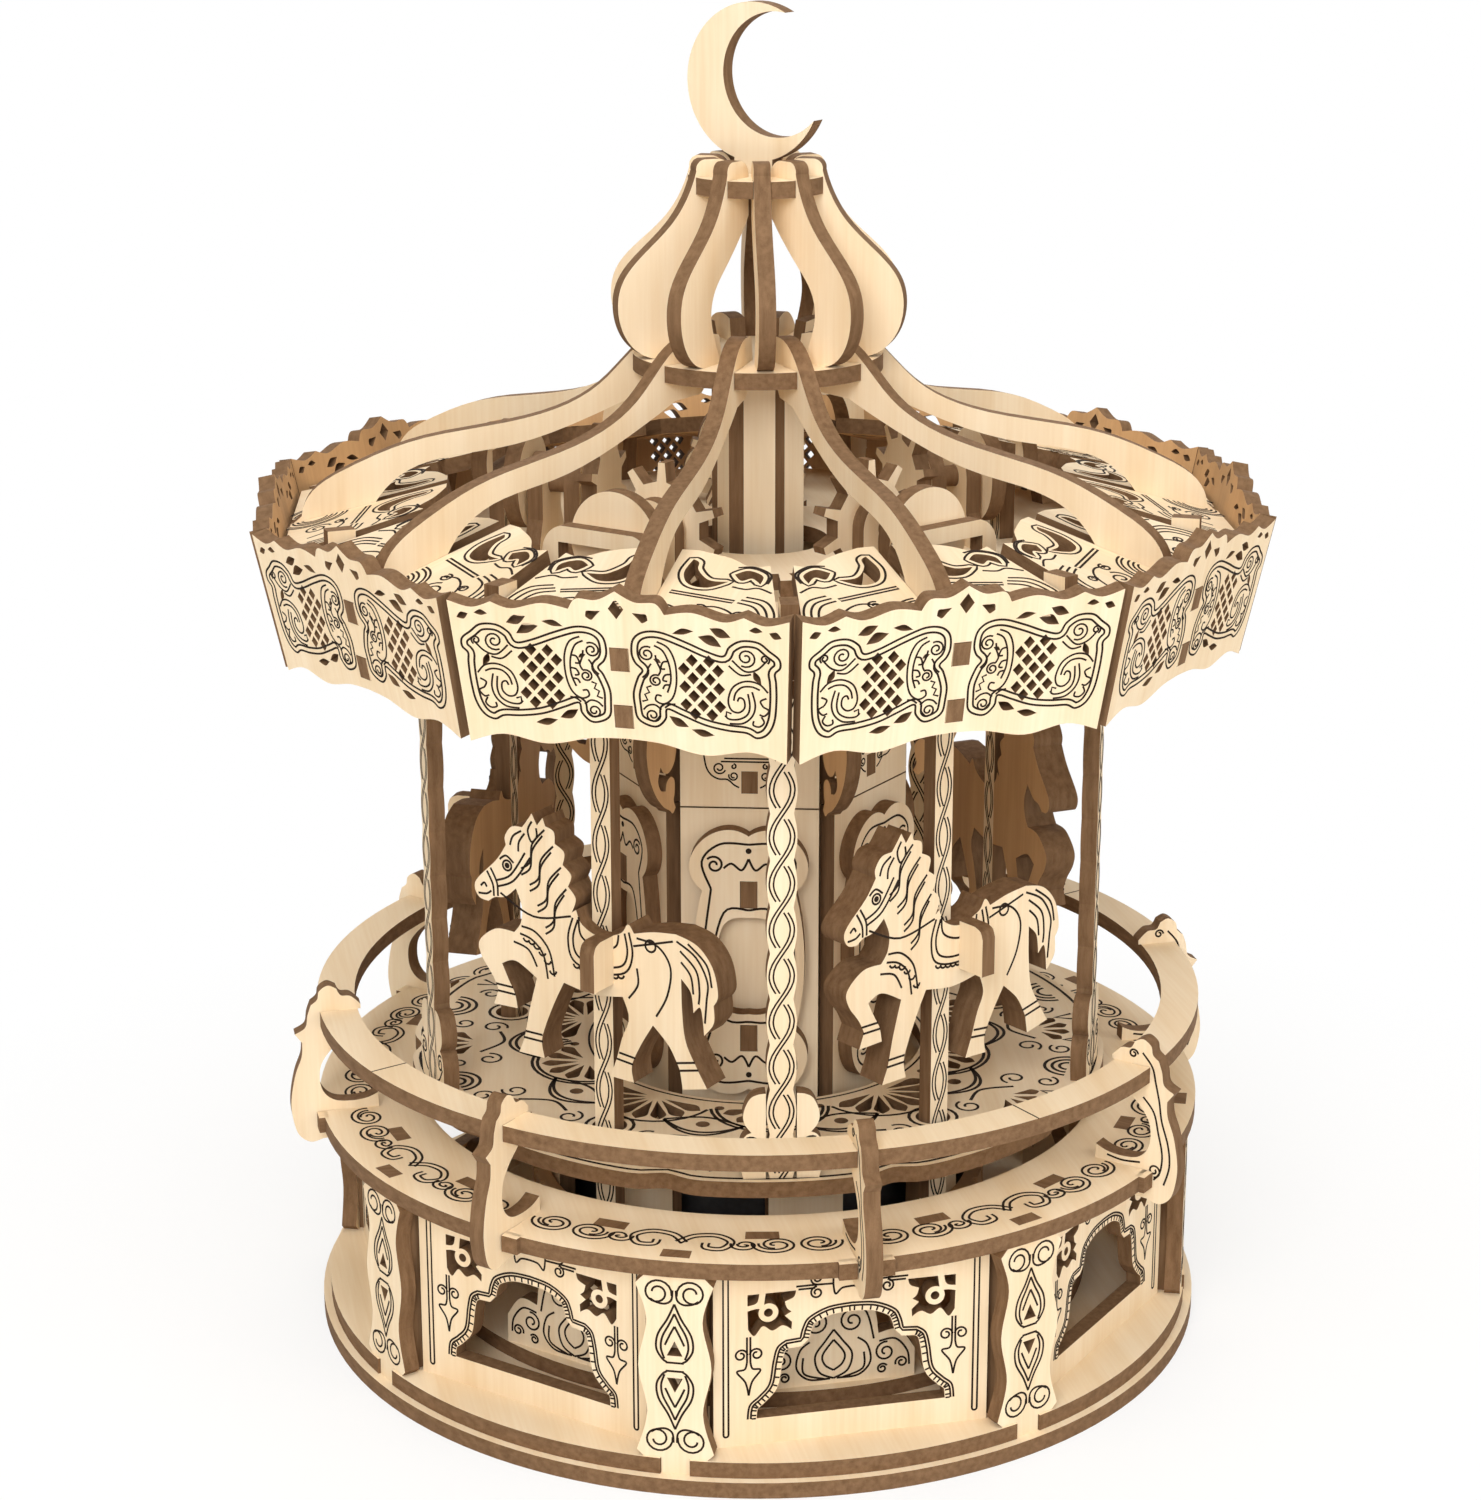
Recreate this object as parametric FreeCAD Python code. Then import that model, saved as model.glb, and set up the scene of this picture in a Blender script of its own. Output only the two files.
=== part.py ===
import FreeCAD, Part
import math
import os

# Carousel music box of laser-cut plywood, with horses that rise and fall as it turns.
# Millimetres, +Z up, the object stands on z = 0 and its front faces -Y.
# Angles are measured about +Z from the front, and grow towards +X.

# Stock and fits
PLY = 3.0              # thickness of the plywood
FIT = 0.1              # gap on each side of a plate in its slot
RUN = 0.06             # radial gap of a shaft in its bearing
CLEAR = 0.6            # gap between pieces that move past each other

# Base
LOWER_DISC_R = 85.0
DISC_STEP = 1.5        # rim of the upper disc inside that of the lower one
BASE_SIDES = 8
PILASTER_INSET = 0.5   # pilaster's front behind the rim of the upper disc
PILASTER_HALF = 6.8
PILASTER_WAIST = 4.9
PILASTER_TAB = 5.0     # width of the tab in the rim of the upper disc
BACK_HALF = 4.6        # half width of the plate behind a pilaster
WALL_SETBACK = 8.0     # from the pilaster's front to the wall's front
WALL_HEIGHT = 35.0
WALL_BORDER = 4.5      # from a corner cut-out to the edges of the wall
WINDOW_HALF = 19.0
WINDOW_SILL = 5.0
WINDOW_HEIGHT = 20.7
DECK_OVERHANG = 1.2    # deck's rim beyond the front of the pilasters
DECK_WIDTH = 19.2
DECK_SLOT = 5.0        # depth of a bracket's slot in the deck's rim
RAIL_RISE = 17.0       # from the deck to the underside of the rail
RAIL_INSET = 0.2       # rail's rim inside that of the deck
RAIL_WIDTH = 7.0
PLAQUE_SETBACK = 13.0  # from the wall's front to the front of the plaque behind it
PLAQUE_HALF = 15.0
PLAQUE_HEIGHT = 18.0
DRUM_SPACE = 9.0       # from the movement's cover to the outside of the drum
DRUM_HEIGHT = 21.0
SLATS = 48
SLAT_GROOVE = 0.8
PILLAR_HALF = 7.0
CORE_OVERHANG = 2.0    # core plate beyond the drum
RING_SPACE = 6.0       # from the drum to the ring under the plaques

# Fixed column in the middle
COLUMN_SIDES = 6
COLUMN_FACE = 25.0
COLUMN_HEIGHT = 61.5
COLUMN_TURN = -16.0    # direction that one panel of the column faces
COLUMN_TENONS = ((15.5, 20.5), (43.5, 48.5))
FRAME_MARGIN = 2.2     # frame's lobes inside the edge of the panel
CAP_OVERHANG = 2.0
CAPITAL_FACE = 20.5
CAPITAL_HEIGHT = 38.5
SHAFT_HOLE_R = 13.0    # hole for the post in the cap and the sun gear

# Turning part
CAROUSEL_TURN = -9.0   # direction of its first column at rest
ROOF_SIDES = 10
HORSES = 5
PLATFORM_RISE = 4.0    # from the deck to the underside of the platform
PLATFORM_R = 66.5
PLATFORM_HOLE_R = 31.5
PLATFORM_LOBES = 40
LOBE_DEPTH = 1.2
PETALS = 20
PETAL_LENGTH = 6.5
PETAL_HALF = 2.0
PETAL_RIM = 2.5        # from the platform's hole to the petals
COLUMN_INSET = 3.0     # twisted columns inside the platform's rim
TWIST_WIDTH = 5.2
TWIST_WAIST = 4.0
TWISTS = 16
FOOT_WIDTH = 4.0
FOOT_HEIGHT = 7.2
POST_R = 8.5
CANOPY_DROP = 4.0      # canopy floor below the sun gear
CANOPY_SETBACK = 7.4   # canopy floor's edge inside that of the skirt
CANOPY_SLOT = 4.0      # depth of a rib's slot in the canopy floor
VALANCE_DROP = 8.8     # valance's foot below the canopy floor
VALANCE_HEIGHT = 25.6
VALANCE_CREST = 3.4
VALANCE_LEAN = 11.7    # degrees
VALANCE_GAP = 0.9      # between the skirt's edge and the valance
VALANCE_TENONS = ((4.6, 8.6), (14.9, 18.9))
LATTICE_HALF = 1.3
LATTICE_RISE = 1.7
SKIRT_OUTER_R = 85.4
SKIRT_DEPTH = 28.5
SKIRT_RISE = 8.2       # from the canopy floor to the skirt's outer edge
SKIRT_CLIMB = 7.2      # from the skirt's outer edge to its inner edge
TIE_FOOT = 7.2
TIE_TAB = 5.0
TIE_PROUD = 1.2        # tie above the skirts
COLLAR_RISE = 36.0     # from the canopy floor to the lower collar
COLLAR_R = 22.8
DOME_RISE = 32.0       # from the lower collar to the top one
TOP_COLLAR_R = 12.5
CRESCENT_R = 14.0
CRESCENT_RISE = 19.2   # from the top collar to the middle of the crescent
STEM_HALF = 4.0        # half width of the crescent's stem in the top collar

# Horse drive
SUN_TEETH = 30
CRANK_TEETH = 10
CRANK_PITCH_R = 10.0
THROW = 6.0
CRANK_PHASE = 252.0    # turn of the first crank at rest, from straight up
CRANK_RIM = 1.5        # disc of the crank beyond its pin
AXLE_R = 2.0
PIN_R = 1.5
BEARING_HALF = 5.5
BEARING_FOOT = 7.5
POLE_INSET = 16.5      # poles inside the platform's rim
POLE_WIDTH = 4.2
POLE_TAIL = 14.0       # length of pole below the top of the platform
POLE_HEAD = 5.0        # half height of the slotted head
HEAD_WALL = 4.0        # head beyond the reach of the crank's pin
HORSE_LIFT = 13.7      # hooves above the platform at mid stroke
HORSE_HEIGHT = 46.5
PEG_WIDTH = 3.0
PEG_HEIGHT = 9.0
PEG_AT = 18.0          # foot of the peg above the hooves

# Movement in the base
COVER_R = 35.0
COVER_HEIGHT = 31.0
COVER_WALL = 1.6
DRIVE_SHAFT_R = 2.5
SHAFT_SOCKET = 20.0    # length of the drive shaft in the post
BUSH_FLANGE = 2.0
BED_Z = 10.0
BED_PLATE = 1.5
BED_HALF = 13.0
BED_LEG = 4.0
BARREL_R = 9.0
BARREL_HEIGHT = 8.0
BARREL_WALL = 1.0
BARREL_TEETH = 36
MOVEMENT_PITCH_R = 4.2
MOVEMENT_PLATE = 1.2
CYLINDER_R = 3.6
CYLINDER_SPACE = 3.0   # from the crown gear to the cylinder
COMB_TEETH = 9
COMB_LENGTH = 9.0
COMB_BACK = 3.0
COMB_PLATE = 0.8
GOVERNOR_MODULE = 0.68
GOVERNOR_TEETH = 8
GOVERNOR_SHAFT_R = 0.8
GOVERNOR_SHAFT = 13.0
VANE_HALF = 5.0
VANE_HEIGHT = 6.0
SPUR_PLATE = 1.5
SPUR_GAP = 0.5
KEY_R = 15.0
KEY_SPACE = 2.0        # round the key in the lower disc
KEY_STEM_R = 2.0
KEY_INSET = 0.4
KEY_GRIP_R = 3.4

# Places that follow from the sizes above
UPPER_DISC_R = LOWER_DISC_R - DISC_STEP
PILASTER_FACE = UPPER_DISC_R - PILASTER_INSET
WALL_FACE = PILASTER_FACE - WALL_SETBACK
PLAQUE_FACE = WALL_FACE - PLAQUE_SETBACK
DRUM_R = COVER_R + DRUM_SPACE
DECK_R = PILASTER_FACE + DECK_OVERHANG
RAIL_R = DECK_R - RAIL_INSET
RAIL_INNER_R = RAIL_R - RAIL_WIDTH
FLOOR_Z = 2 * PLY
DECK_Z = FLOOR_Z + WALL_HEIGHT
DECK_TOP = DECK_Z + PLY
RAIL_Z = DECK_TOP + RAIL_RISE
PLATFORM_Z = DECK_TOP + PLATFORM_RISE
PLATFORM_TOP = PLATFORM_Z + PLY
CAP_Z = DECK_TOP + COLUMN_HEIGHT
CAPITAL_Z = CAP_Z + PLY
SUN_Z = CAPITAL_Z + CAPITAL_HEIGHT
CANOPY_Z = SUN_Z - CANOPY_DROP
CANOPY_TOP = CANOPY_Z + PLY
CANOPY_APOTHEM = SKIRT_OUTER_R - CANOPY_SETBACK
SKIRT_OUTER_Z = CANOPY_TOP + SKIRT_RISE
VALANCE_FOOT_Z = CANOPY_Z - VALANCE_DROP
COLLAR_Z = CANOPY_TOP + COLLAR_RISE
TOP_COLLAR_Z = COLLAR_Z + DOME_RISE
CRESCENT_Z = TOP_COLLAR_Z + CRESCENT_RISE
CRANK_Z = SUN_Z + PLY / 2 + CRANK_PITCH_R
SUN_PITCH_R = CRANK_PITCH_R * SUN_TEETH / CRANK_TEETH
ROOF_STEP = 360.0 / ROOF_SIDES
HORSE_STEP = 360.0 / HORSES
RIB_TURN = CAROUSEL_TURN + ROOF_STEP / 2
HORSE_TURN = CAROUSEL_TURN + HORSE_STEP / 2
CRESCENT_TURN = CAROUSEL_TURN + ROOF_STEP * 1.5 - 90.0
COLLAR_NOTCH = COLLAR_R * 0.72
TOP_NOTCH = TOP_COLLAR_R * 0.76
TWIST_COLUMN_R = PLATFORM_R - COLUMN_INSET
POLE_AT = PLATFORM_R - POLE_INSET
POLE_INNER = POLE_AT - PLY / 2
POLE_OUTER = POLE_AT + PLY / 2
PIN_END = POLE_INNER - CLEAR
DISC_OUTER = PIN_END - PLY / 2
DISC_INNER = DISC_OUTER - PLY
BEARING_2 = DISC_INNER - CLEAR - PLY
ROLLER_OUTER = SUN_PITCH_R + PLY / 2
BEARING_1 = ROLLER_OUTER + 2 * CLEAR
CANOPY_HOLE_R = ROLLER_OUTER + CLEAR
POST_Z = DECK_TOP + BUSH_FLANGE + CLEAR
BUSH_R = 2 * DRIVE_SHAFT_R
SPUR_Z = BED_Z + BED_PLATE + SPUR_GAP
CROWN_Z = SPUR_Z + BARREL_HEIGHT
CROWN_PITCH_R = MOVEMENT_PITCH_R * SUN_TEETH / CRANK_TEETH
CYLINDER_Z = CROWN_Z + MOVEMENT_PLATE / 2 + MOVEMENT_PITCH_R
CYLINDER_START = CROWN_PITCH_R + MOVEMENT_PLATE / 2 + CYLINDER_SPACE
CYLINDER_END = COVER_R - COVER_WALL - 4.0
GOVERNOR_AT = GOVERNOR_MODULE * (BARREL_TEETH + GOVERNOR_TEETH) / 2

ORIGIN = FreeCAD.Vector(0, 0, 0)
ACROSS = FreeCAD.Vector(1, 0, 0)
OUT = FreeCAD.Vector(0, -1, 0)
UP = FreeCAD.Vector(0, 0, 1)


def sine(degrees):
    return math.sin(math.radians(degrees))


def cosine(degrees):
    return math.cos(math.radians(degrees))


def tangent(degrees):
    return math.tan(math.radians(degrees))


ROOF_NARROW = tangent(180.0 / ROOF_SIDES)
ROOF_WIDEN = 1.0 / cosine(180.0 / ROOF_SIDES)
VALANCE_THICK = PLY / cosine(VALANCE_LEAN)
VALANCE_SPREAD = (SKIRT_OUTER_Z - VALANCE_FOOT_Z) * tangent(VALANCE_LEAN)
VALANCE_FOOT_R = SKIRT_OUTER_R + VALANCE_GAP + VALANCE_THICK - VALANCE_SPREAD


def point(pair):
    return FreeCAD.Vector(pair[0], pair[1], 0)


def outline(steps):
    """Closed wire. A pair is a corner, a pair of pairs an arc, and a list of pairs a smooth curve."""
    edges = []
    last = steps[0]
    for step in steps[1:] + steps[:1]:
        if isinstance(step, list):
            curve = Part.BSplineCurve()
            curve.interpolate([point(pair) for pair in [last] + step])
            edges.append(curve.toShape())
            last = step[-1]
        elif isinstance(step[0], tuple):
            edges.append(Part.Arc(point(last), point(step[0]), point(step[1])).toShape())
            last = step[1]
        elif step != last:
            edges.append(Part.LineSegment(point(last), point(step)).toShape())
            last = step
    return Part.Wire(edges)


def mirrored(half):
    """A right-hand outline from bottom to top, closed by its mirror image."""
    left = []
    last = half[0]
    for step in half[1:]:
        simple = not isinstance(step, list) and not isinstance(step[0], tuple)
        stops = [step] if simple else list(step)
        back = [(-x, y) for x, y in reversed([last] + stops[:-1])]
        left.insert(0, back[0] if simple else type(step)(back))
        last = stops[-1]
    top = [(-last[0], last[1])] if last[0] > 0 else []
    return half + top + left


def flipped(steps):
    """The mirror image of an outline made of corners and curves."""
    return [[(-x, y) for x, y in step] if isinstance(step, list) else (-step[0], step[1]) for step in steps]


def circle(radius, x=0.0, y=0.0):
    return Part.Wire(Part.makeCircle(radius, FreeCAD.Vector(x, y, 0)))


def rectangle(left, bottom, right, top):
    return outline([(left, bottom), (right, bottom), (right, top), (left, top)])


def slot_for(heights):
    """Slot for the tenon of a radial plate, in a plate that faces outwards."""
    half = PLY / 2 + FIT
    return rectangle(-half, heights[0] - FIT, half, heights[1] + FIT)


def polar(radius, angle):
    return (radius * sine(angle), -radius * cosine(angle))


def polygon(sides, apothem, first):
    """Corners of a regular polygon, the first at this angle from the front."""
    radius = apothem / cosine(180.0 / sides)
    return [polar(radius, first + 360.0 / sides * index) for index in range(sides)]


def plate(outer, holes=(), thickness=PLY):
    face = Part.makeFace([outer] + list(holes), "Part::FaceMakerBullseye")
    return face.extrude(UP * thickness)


def raised(shape, height):
    return shape.translated(UP * height)


def turned(shape, angle):
    copy = shape.copy()
    copy.rotate(ORIGIN, UP, angle)
    return copy


def ring_of(shape, count, first):
    return [turned(shape, first + 360.0 / count * index) for index in range(count)]


def facing_out(shape, inner, height=0.0):
    """Stand a flat plate up at the front: its x to the right, its y up, its thickness outwards."""
    copy = shape.copy()
    copy.rotate(ORIGIN, ACROSS, 90)
    copy.translate(FreeCAD.Vector(0, -inner, height))
    return copy


def radial(shape, height=0.0):
    """Stand a flat plate up in the plane through the axis and the front: its x outwards, its y up."""
    copy = raised(shape, -PLY / 2)
    copy.rotate(ORIGIN, ACROSS, 90)
    copy.rotate(ORIGIN, UP, -90)
    copy.translate(UP * height)
    return copy


def rod(radius, start, end, height, across=0.0):
    """Round bar that lies along the front direction, from one distance from the axis to another."""
    return Part.makeCylinder(radius, end - start, FreeCAD.Vector(across, -start, height), OUT)


def pillar(radius, bottom, top):
    """Round bar on the axis, from one height to another."""
    return Part.makeCylinder(radius, top - bottom, UP * bottom)


def rim_slots(shape, count, first, depth_from, depth, half=PLY / 2 + FIT):
    """Cut slots into the rim of a flat plate, from this distance from its middle outwards."""
    cutter = Part.makeBox(2 * half, depth, PLY, FreeCAD.Vector(-half, -depth_from - depth, 0))
    for piece in ring_of(cutter, count, first):
        shape = shape.cut(piece)
    return shape


def save(name, solids):
    shape = solids[0] if len(solids) == 1 else Part.makeCompound(solids)
    shape.exportStep("parts/" + name + ".step")


# Base


def base_discs():
    lower = plate(circle(LOWER_DISC_R), [circle(KEY_R + KEY_SPACE)])
    upper = plate(circle(UPPER_DISC_R), [circle(KEY_STEM_R + RUN)])
    tab_from = PILASTER_FACE - PLY - FIT
    upper = rim_slots(upper, BASE_SIDES, 180.0 / BASE_SIDES, tab_from, 3 * PLY, PILASTER_TAB / 2 + FIT)
    save("base_disc_lower", [lower])
    save("base_disc_upper", [raised(upper, PLY)])


def wall_panels():
    corner = 180.0 / BASE_SIDES
    half = (PILASTER_FACE - 2 * PLY) * sine(corner) - (BACK_HALF + 6 * FIT) * cosine(corner)
    top = WINDOW_SILL + WINDOW_HEIGHT
    window = mirrored([
        (WINDOW_HALF, WINDOW_SILL),
        [(WINDOW_HALF - 2.8, WINDOW_SILL + 3.4), (WINDOW_HALF - 4.5, WINDOW_SILL + 9.5)],
        [(WINDOW_HALF - 8.6, WINDOW_SILL + 11.6), (WINDOW_HALF - 9.8, top - 5.0)],
        [(WINDOW_HALF - 13.5, top - 1.0), (0.0, top)],
    ])
    edge = half - WALL_BORDER
    high = WALL_HEIGHT - WALL_BORDER
    leaf = [(edge, high), (edge - 7.0, high), [(edge - 5.8, high - 4.8), (edge - 0.8, high - 8.6)]]
    holes = [outline(window), outline(leaf), outline(flipped(leaf))]
    panel = plate(rectangle(-half, 0, half, WALL_HEIGHT), holes)
    save("wall_panels", ring_of(facing_out(panel, WALL_FACE - PLY, FLOOR_Z), BASE_SIDES, 0.0))


def pilasters():
    wide = PILASTER_HALF
    waist = PILASTER_WAIST
    height = WALL_HEIGHT
    half = [
        (PILASTER_TAB / 2, -PLY),
        (PILASTER_TAB / 2, 0.0),
        (wide - 1.2, 0.0),
        (wide, 1.2),
        [(waist, height * 0.25), (wide - 0.4, height * 0.5), (waist, height * 0.75), (wide, height - 2.0)],
        (wide - 2.0, height),
    ]
    turn = 180.0 / BASE_SIDES
    front = facing_out(plate(outline(mirrored(half))), PILASTER_FACE - PLY, FLOOR_Z)
    back = facing_out(plate(rectangle(-BACK_HALF, 0, BACK_HALF, height)), PILASTER_FACE - 2 * PLY, FLOOR_Z)
    save("pilasters", ring_of(front, BASE_SIDES, turn))
    save("pilaster_backs", ring_of(back, BASE_SIDES, turn))


def window_plaques():
    ring = plate(circle(PLAQUE_FACE + 2.0), [circle(DRUM_R + RING_SPACE)])
    wide = PLAQUE_HALF
    tall = PLAQUE_HEIGHT
    half = [
        (wide, 0.0),
        (wide, tall * 0.3),
        [(wide * 0.8, tall * 0.52), (wide * 0.55, tall * 0.5)],
        [(wide * 0.45, tall * 0.85), (0.0, tall)],
    ]
    plaque = facing_out(plate(outline(mirrored(half))), PLAQUE_FACE - PLY, FLOOR_Z + PLY)
    save("plaque_ring", [raised(ring, FLOOR_Z)])
    save("window_plaques", ring_of(plaque, BASE_SIDES, 0.0))


def inner_drum():
    fluted = []
    groove = DRUM_R - SLAT_GROOVE
    for index in range(SLATS):
        angle = 360.0 / SLATS * index
        for radius, part in ((DRUM_R, 0.1), (DRUM_R, 0.8), (groove, 0.9), (groove, 1.0)):
            fluted.append(polar(radius, angle + 360.0 / SLATS * part))
    drum = raised(plate(outline(fluted), [circle(DRUM_R - PLY)], DRUM_HEIGHT), FLOOR_Z)
    face = math.sqrt((DRUM_R - PLY) ** 2 - PILLAR_HALF ** 2) - FIT
    board = plate(rectangle(-PILLAR_HALF, 0, PILLAR_HALF, WALL_HEIGHT))
    core = plate(circle(DRUM_R + CORE_OVERHANG), [circle(BUSH_R)])
    save("slatted_drum", [drum])
    save("drum_pillars", ring_of(facing_out(board, face - PLY, FLOOR_Z), BASE_SIDES, 0.0))
    save("core_plate", [raised(core, DECK_Z)])


def deck_and_rail():
    deck_slot = DECK_R - DECK_SLOT
    rail_slot = RAIL_R - RAIL_WIDTH / 2
    deck = rim_slots(plate(circle(DECK_R), [circle(DECK_R - DECK_WIDTH)]), BASE_SIDES, 0.0, deck_slot, DECK_R)
    rail = rim_slots(plate(circle(RAIL_R), [circle(RAIL_INNER_R)]), BASE_SIDES, 0.0, rail_slot, RAIL_R)
    quarter = Part.makeBox(RAIL_R + PLY, RAIL_R + PLY, PLY)
    joint_turn = 180.0 / BASE_SIDES - 90.0
    segments = [raised(rail.common(piece), RAIL_Z) for piece in ring_of(quarter, 4, joint_turn)]
    rail_top = RAIL_Z + PLY
    bracket = [
        (deck_slot + FIT, DECK_Z - 2.2),
        (RAIL_R + 0.5, DECK_Z - 3.4),
        [(RAIL_R + 6.0, DECK_TOP + 3.0), (RAIL_R + 1.4, DECK_TOP + 10.0), (RAIL_R + 4.8, RAIL_Z - 1.0),
         (RAIL_R, rail_top + 5.0), (RAIL_INNER_R - 0.8, rail_top + 1.6)],
        (RAIL_INNER_R - 0.8, rail_top),
        (rail_slot + FIT, rail_top),
        (rail_slot + FIT, RAIL_Z),
        (RAIL_INNER_R + 0.5, RAIL_Z),
        [(RAIL_INNER_R + 1.5, DECK_TOP + 10.0), (RAIL_INNER_R, DECK_TOP + 5.0),
         (deck_slot - 5.5, DECK_TOP + 2.5)],
        (deck_slot - 5.5, DECK_TOP),
        (deck_slot + FIT, DECK_TOP),
    ]
    save("deck_ring", [raised(deck, DECK_Z)])
    save("rail_segments", segments)
    save("rail_brackets", ring_of(radial(plate(outline(bracket))), BASE_SIDES, 0.0))


# Fixed column in the middle


def column():
    half = (COLUMN_FACE - PLY) * tangent(180.0 / COLUMN_SIDES) - FIT
    wide = half - FRAME_MARGIN
    tall = COLUMN_HEIGHT
    slots = [slot_for(heights) for heights in COLUMN_TENONS]
    lobed = mirrored([
        (0.0, tall * 0.13),
        [(wide * 0.6, tall * 0.12), (wide, tall * 0.2), (wide * 0.82, tall * 0.32)],
        [(wide * 0.98, tall * 0.54), (wide * 0.82, tall * 0.76)],
        [(wide, tall * 0.87), (wide * 0.6, tall * 0.94), (0.0, tall * 0.93)],
    ])
    opening = mirrored([
        (0.0, tall * 0.37),
        [(wide * 0.4, tall * 0.385), (wide * 0.52, tall * 0.52), (wide * 0.4, tall * 0.66),
         (0.0, tall * 0.675)],
    ])
    inner = POST_R + 2 * CLEAR
    seat = COLUMN_FACE - PLY
    tip = COLUMN_FACE + PLY
    rib = [(inner, tall), (inner, 0.0), (seat, 0.0)]
    for low, high in COLUMN_TENONS:
        rib += [(seat, low), (tip, low), (tip, high), (seat, high)]
    rib.append((seat, tall))
    panel = facing_out(plate(rectangle(-half, 0, half, tall), slots), seat, DECK_TOP)
    frame = facing_out(plate(outline(lobed), slots + [outline(opening)]), COLUMN_FACE, DECK_TOP)
    save("column_panels", ring_of(panel, COLUMN_SIDES, COLUMN_TURN))
    save("column_frames", ring_of(frame, COLUMN_SIDES, COLUMN_TURN))
    save("column_ribs", ring_of(radial(plate(outline(rib)), DECK_TOP), COLUMN_SIDES, COLUMN_TURN))


def capital():
    corner = 180.0 / COLUMN_SIDES
    cap = polygon(COLUMN_SIDES, COLUMN_FACE + CAP_OVERHANG, COLUMN_TURN + corner)
    save("column_cap", [raised(plate(outline(cap), [circle(SHAFT_HOLE_R)]), CAP_Z)])
    half = (CAPITAL_FACE - PLY) * tangent(corner) - FIT
    panel = facing_out(plate(rectangle(-half, 0, half, CAPITAL_HEIGHT)), CAPITAL_FACE - PLY, CAPITAL_Z)
    save("capital_panels", ring_of(panel, COLUMN_SIDES, COLUMN_TURN))
    inner = CAPITAL_FACE * cosine(corner) + half * sine(corner) + FIT
    scroll = [
        (inner, 0.0),
        (inner + 5.0, 0.0),
        [(inner + 8.2, 3.4), (inner + 5.0, 6.5), (inner + 2.6, 9.5), (inner + 6.5, 18.5),
         (inner + 11.4, 25.0), (inner + 8.5, 29.5), (inner + 4.5, 27.8)],
        [(inner + 7.4, 25.2), (inner + 4.0, 21.0), (inner + FIT, 14.0)],
    ]
    placed = radial(plate(outline(scroll)), CAPITAL_Z)
    save("capital_scrolls", ring_of(placed, COLUMN_SIDES, COLUMN_TURN + corner))


def toothed(teeth, profile):
    """Gear outline. The profile gives, over one tooth, distances from the middle with offsets to the side."""
    corners = []
    for index in range(teeth):
        for radius, side in profile:
            corners.append(polar(radius, 360.0 / teeth * index + math.degrees(math.asin(side / radius))))
    return outline(corners)


def crown_gear(pitch, roller, thickness, hole):
    """Flat plate with radial slots that the teeth of a roller dip into at a right angle."""
    slot = roller * 0.195
    inner = pitch - thickness / 2 - roller * 0.1
    outer = pitch + thickness / 2 + roller * 0.1
    profile = ((outer, -slot), (inner, -slot), (inner, slot), (outer, slot))
    return plate(toothed(SUN_TEETH, profile), [circle(hole)], thickness)


def roller_gear(pitch, thickness):
    """Toothed roller whose first tooth points down, for a crown gear."""
    root = pitch * 0.8
    tip = pitch * 1.14
    foot = pitch * 0.1
    top = pitch * 0.07
    return plate(toothed(CRANK_TEETH, ((root, -foot), (tip, -top), (tip, top), (root, foot))), [], thickness)


def spur_gear(teeth):
    """Small gear of the movement, whose first tooth points to the front."""
    root = GOVERNOR_MODULE * (teeth / 2.0 - 1.15)
    tip = GOVERNOR_MODULE * (teeth / 2.0 + 0.75)
    foot = GOVERNOR_MODULE * 0.62
    top = GOVERNOR_MODULE * 0.24
    return plate(toothed(teeth, ((root, -foot), (tip, -top), (tip, top), (root, foot))), [], SPUR_PLATE)


def sun_gear():
    gear = crown_gear(SUN_PITCH_R, CRANK_PITCH_R, PLY, SHAFT_HOLE_R)
    save("sun_gear", [turned(raised(gear, SUN_Z), HORSE_TURN)])


# Turning part


def platform():
    step = 360.0 / PLATFORM_LOBES
    valley = PLATFORM_R - LOBE_DEPTH
    edge = [polar(valley, 0.0)]
    for index in range(PLATFORM_LOBES):
        end = polar(valley, step * ((index + 1) % PLATFORM_LOBES))
        edge.append((polar(PLATFORM_R, step * (index + 0.5)), end))
    holes = [circle(PLATFORM_HOLE_R)]
    for index in range(HORSES):
        centre = polar(POLE_AT, HORSE_STEP * (index + 0.5))
        holes.append(circle(math.hypot(POLE_WIDTH, PLY) / 2 + CLEAR, centre[0], centre[1]))
    near = PLATFORM_HOLE_R + PETAL_RIM
    for index in range(PETALS):
        angle = 360.0 / PETALS * (index + 0.5)
        middle = near + PETAL_LENGTH * 0.4
        sway = math.degrees(PETAL_HALF / middle)
        far = polar(near + PETAL_LENGTH, angle)
        sides = [(polar(middle, angle - sway), far), (polar(middle, angle + sway), polar(near, angle))]
        holes.append(outline([polar(near, angle)] + sides))
    disc = plate(outline(edge), holes)
    save("platform", [turned(raised(disc, PLATFORM_Z), CAROUSEL_TURN)])


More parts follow.
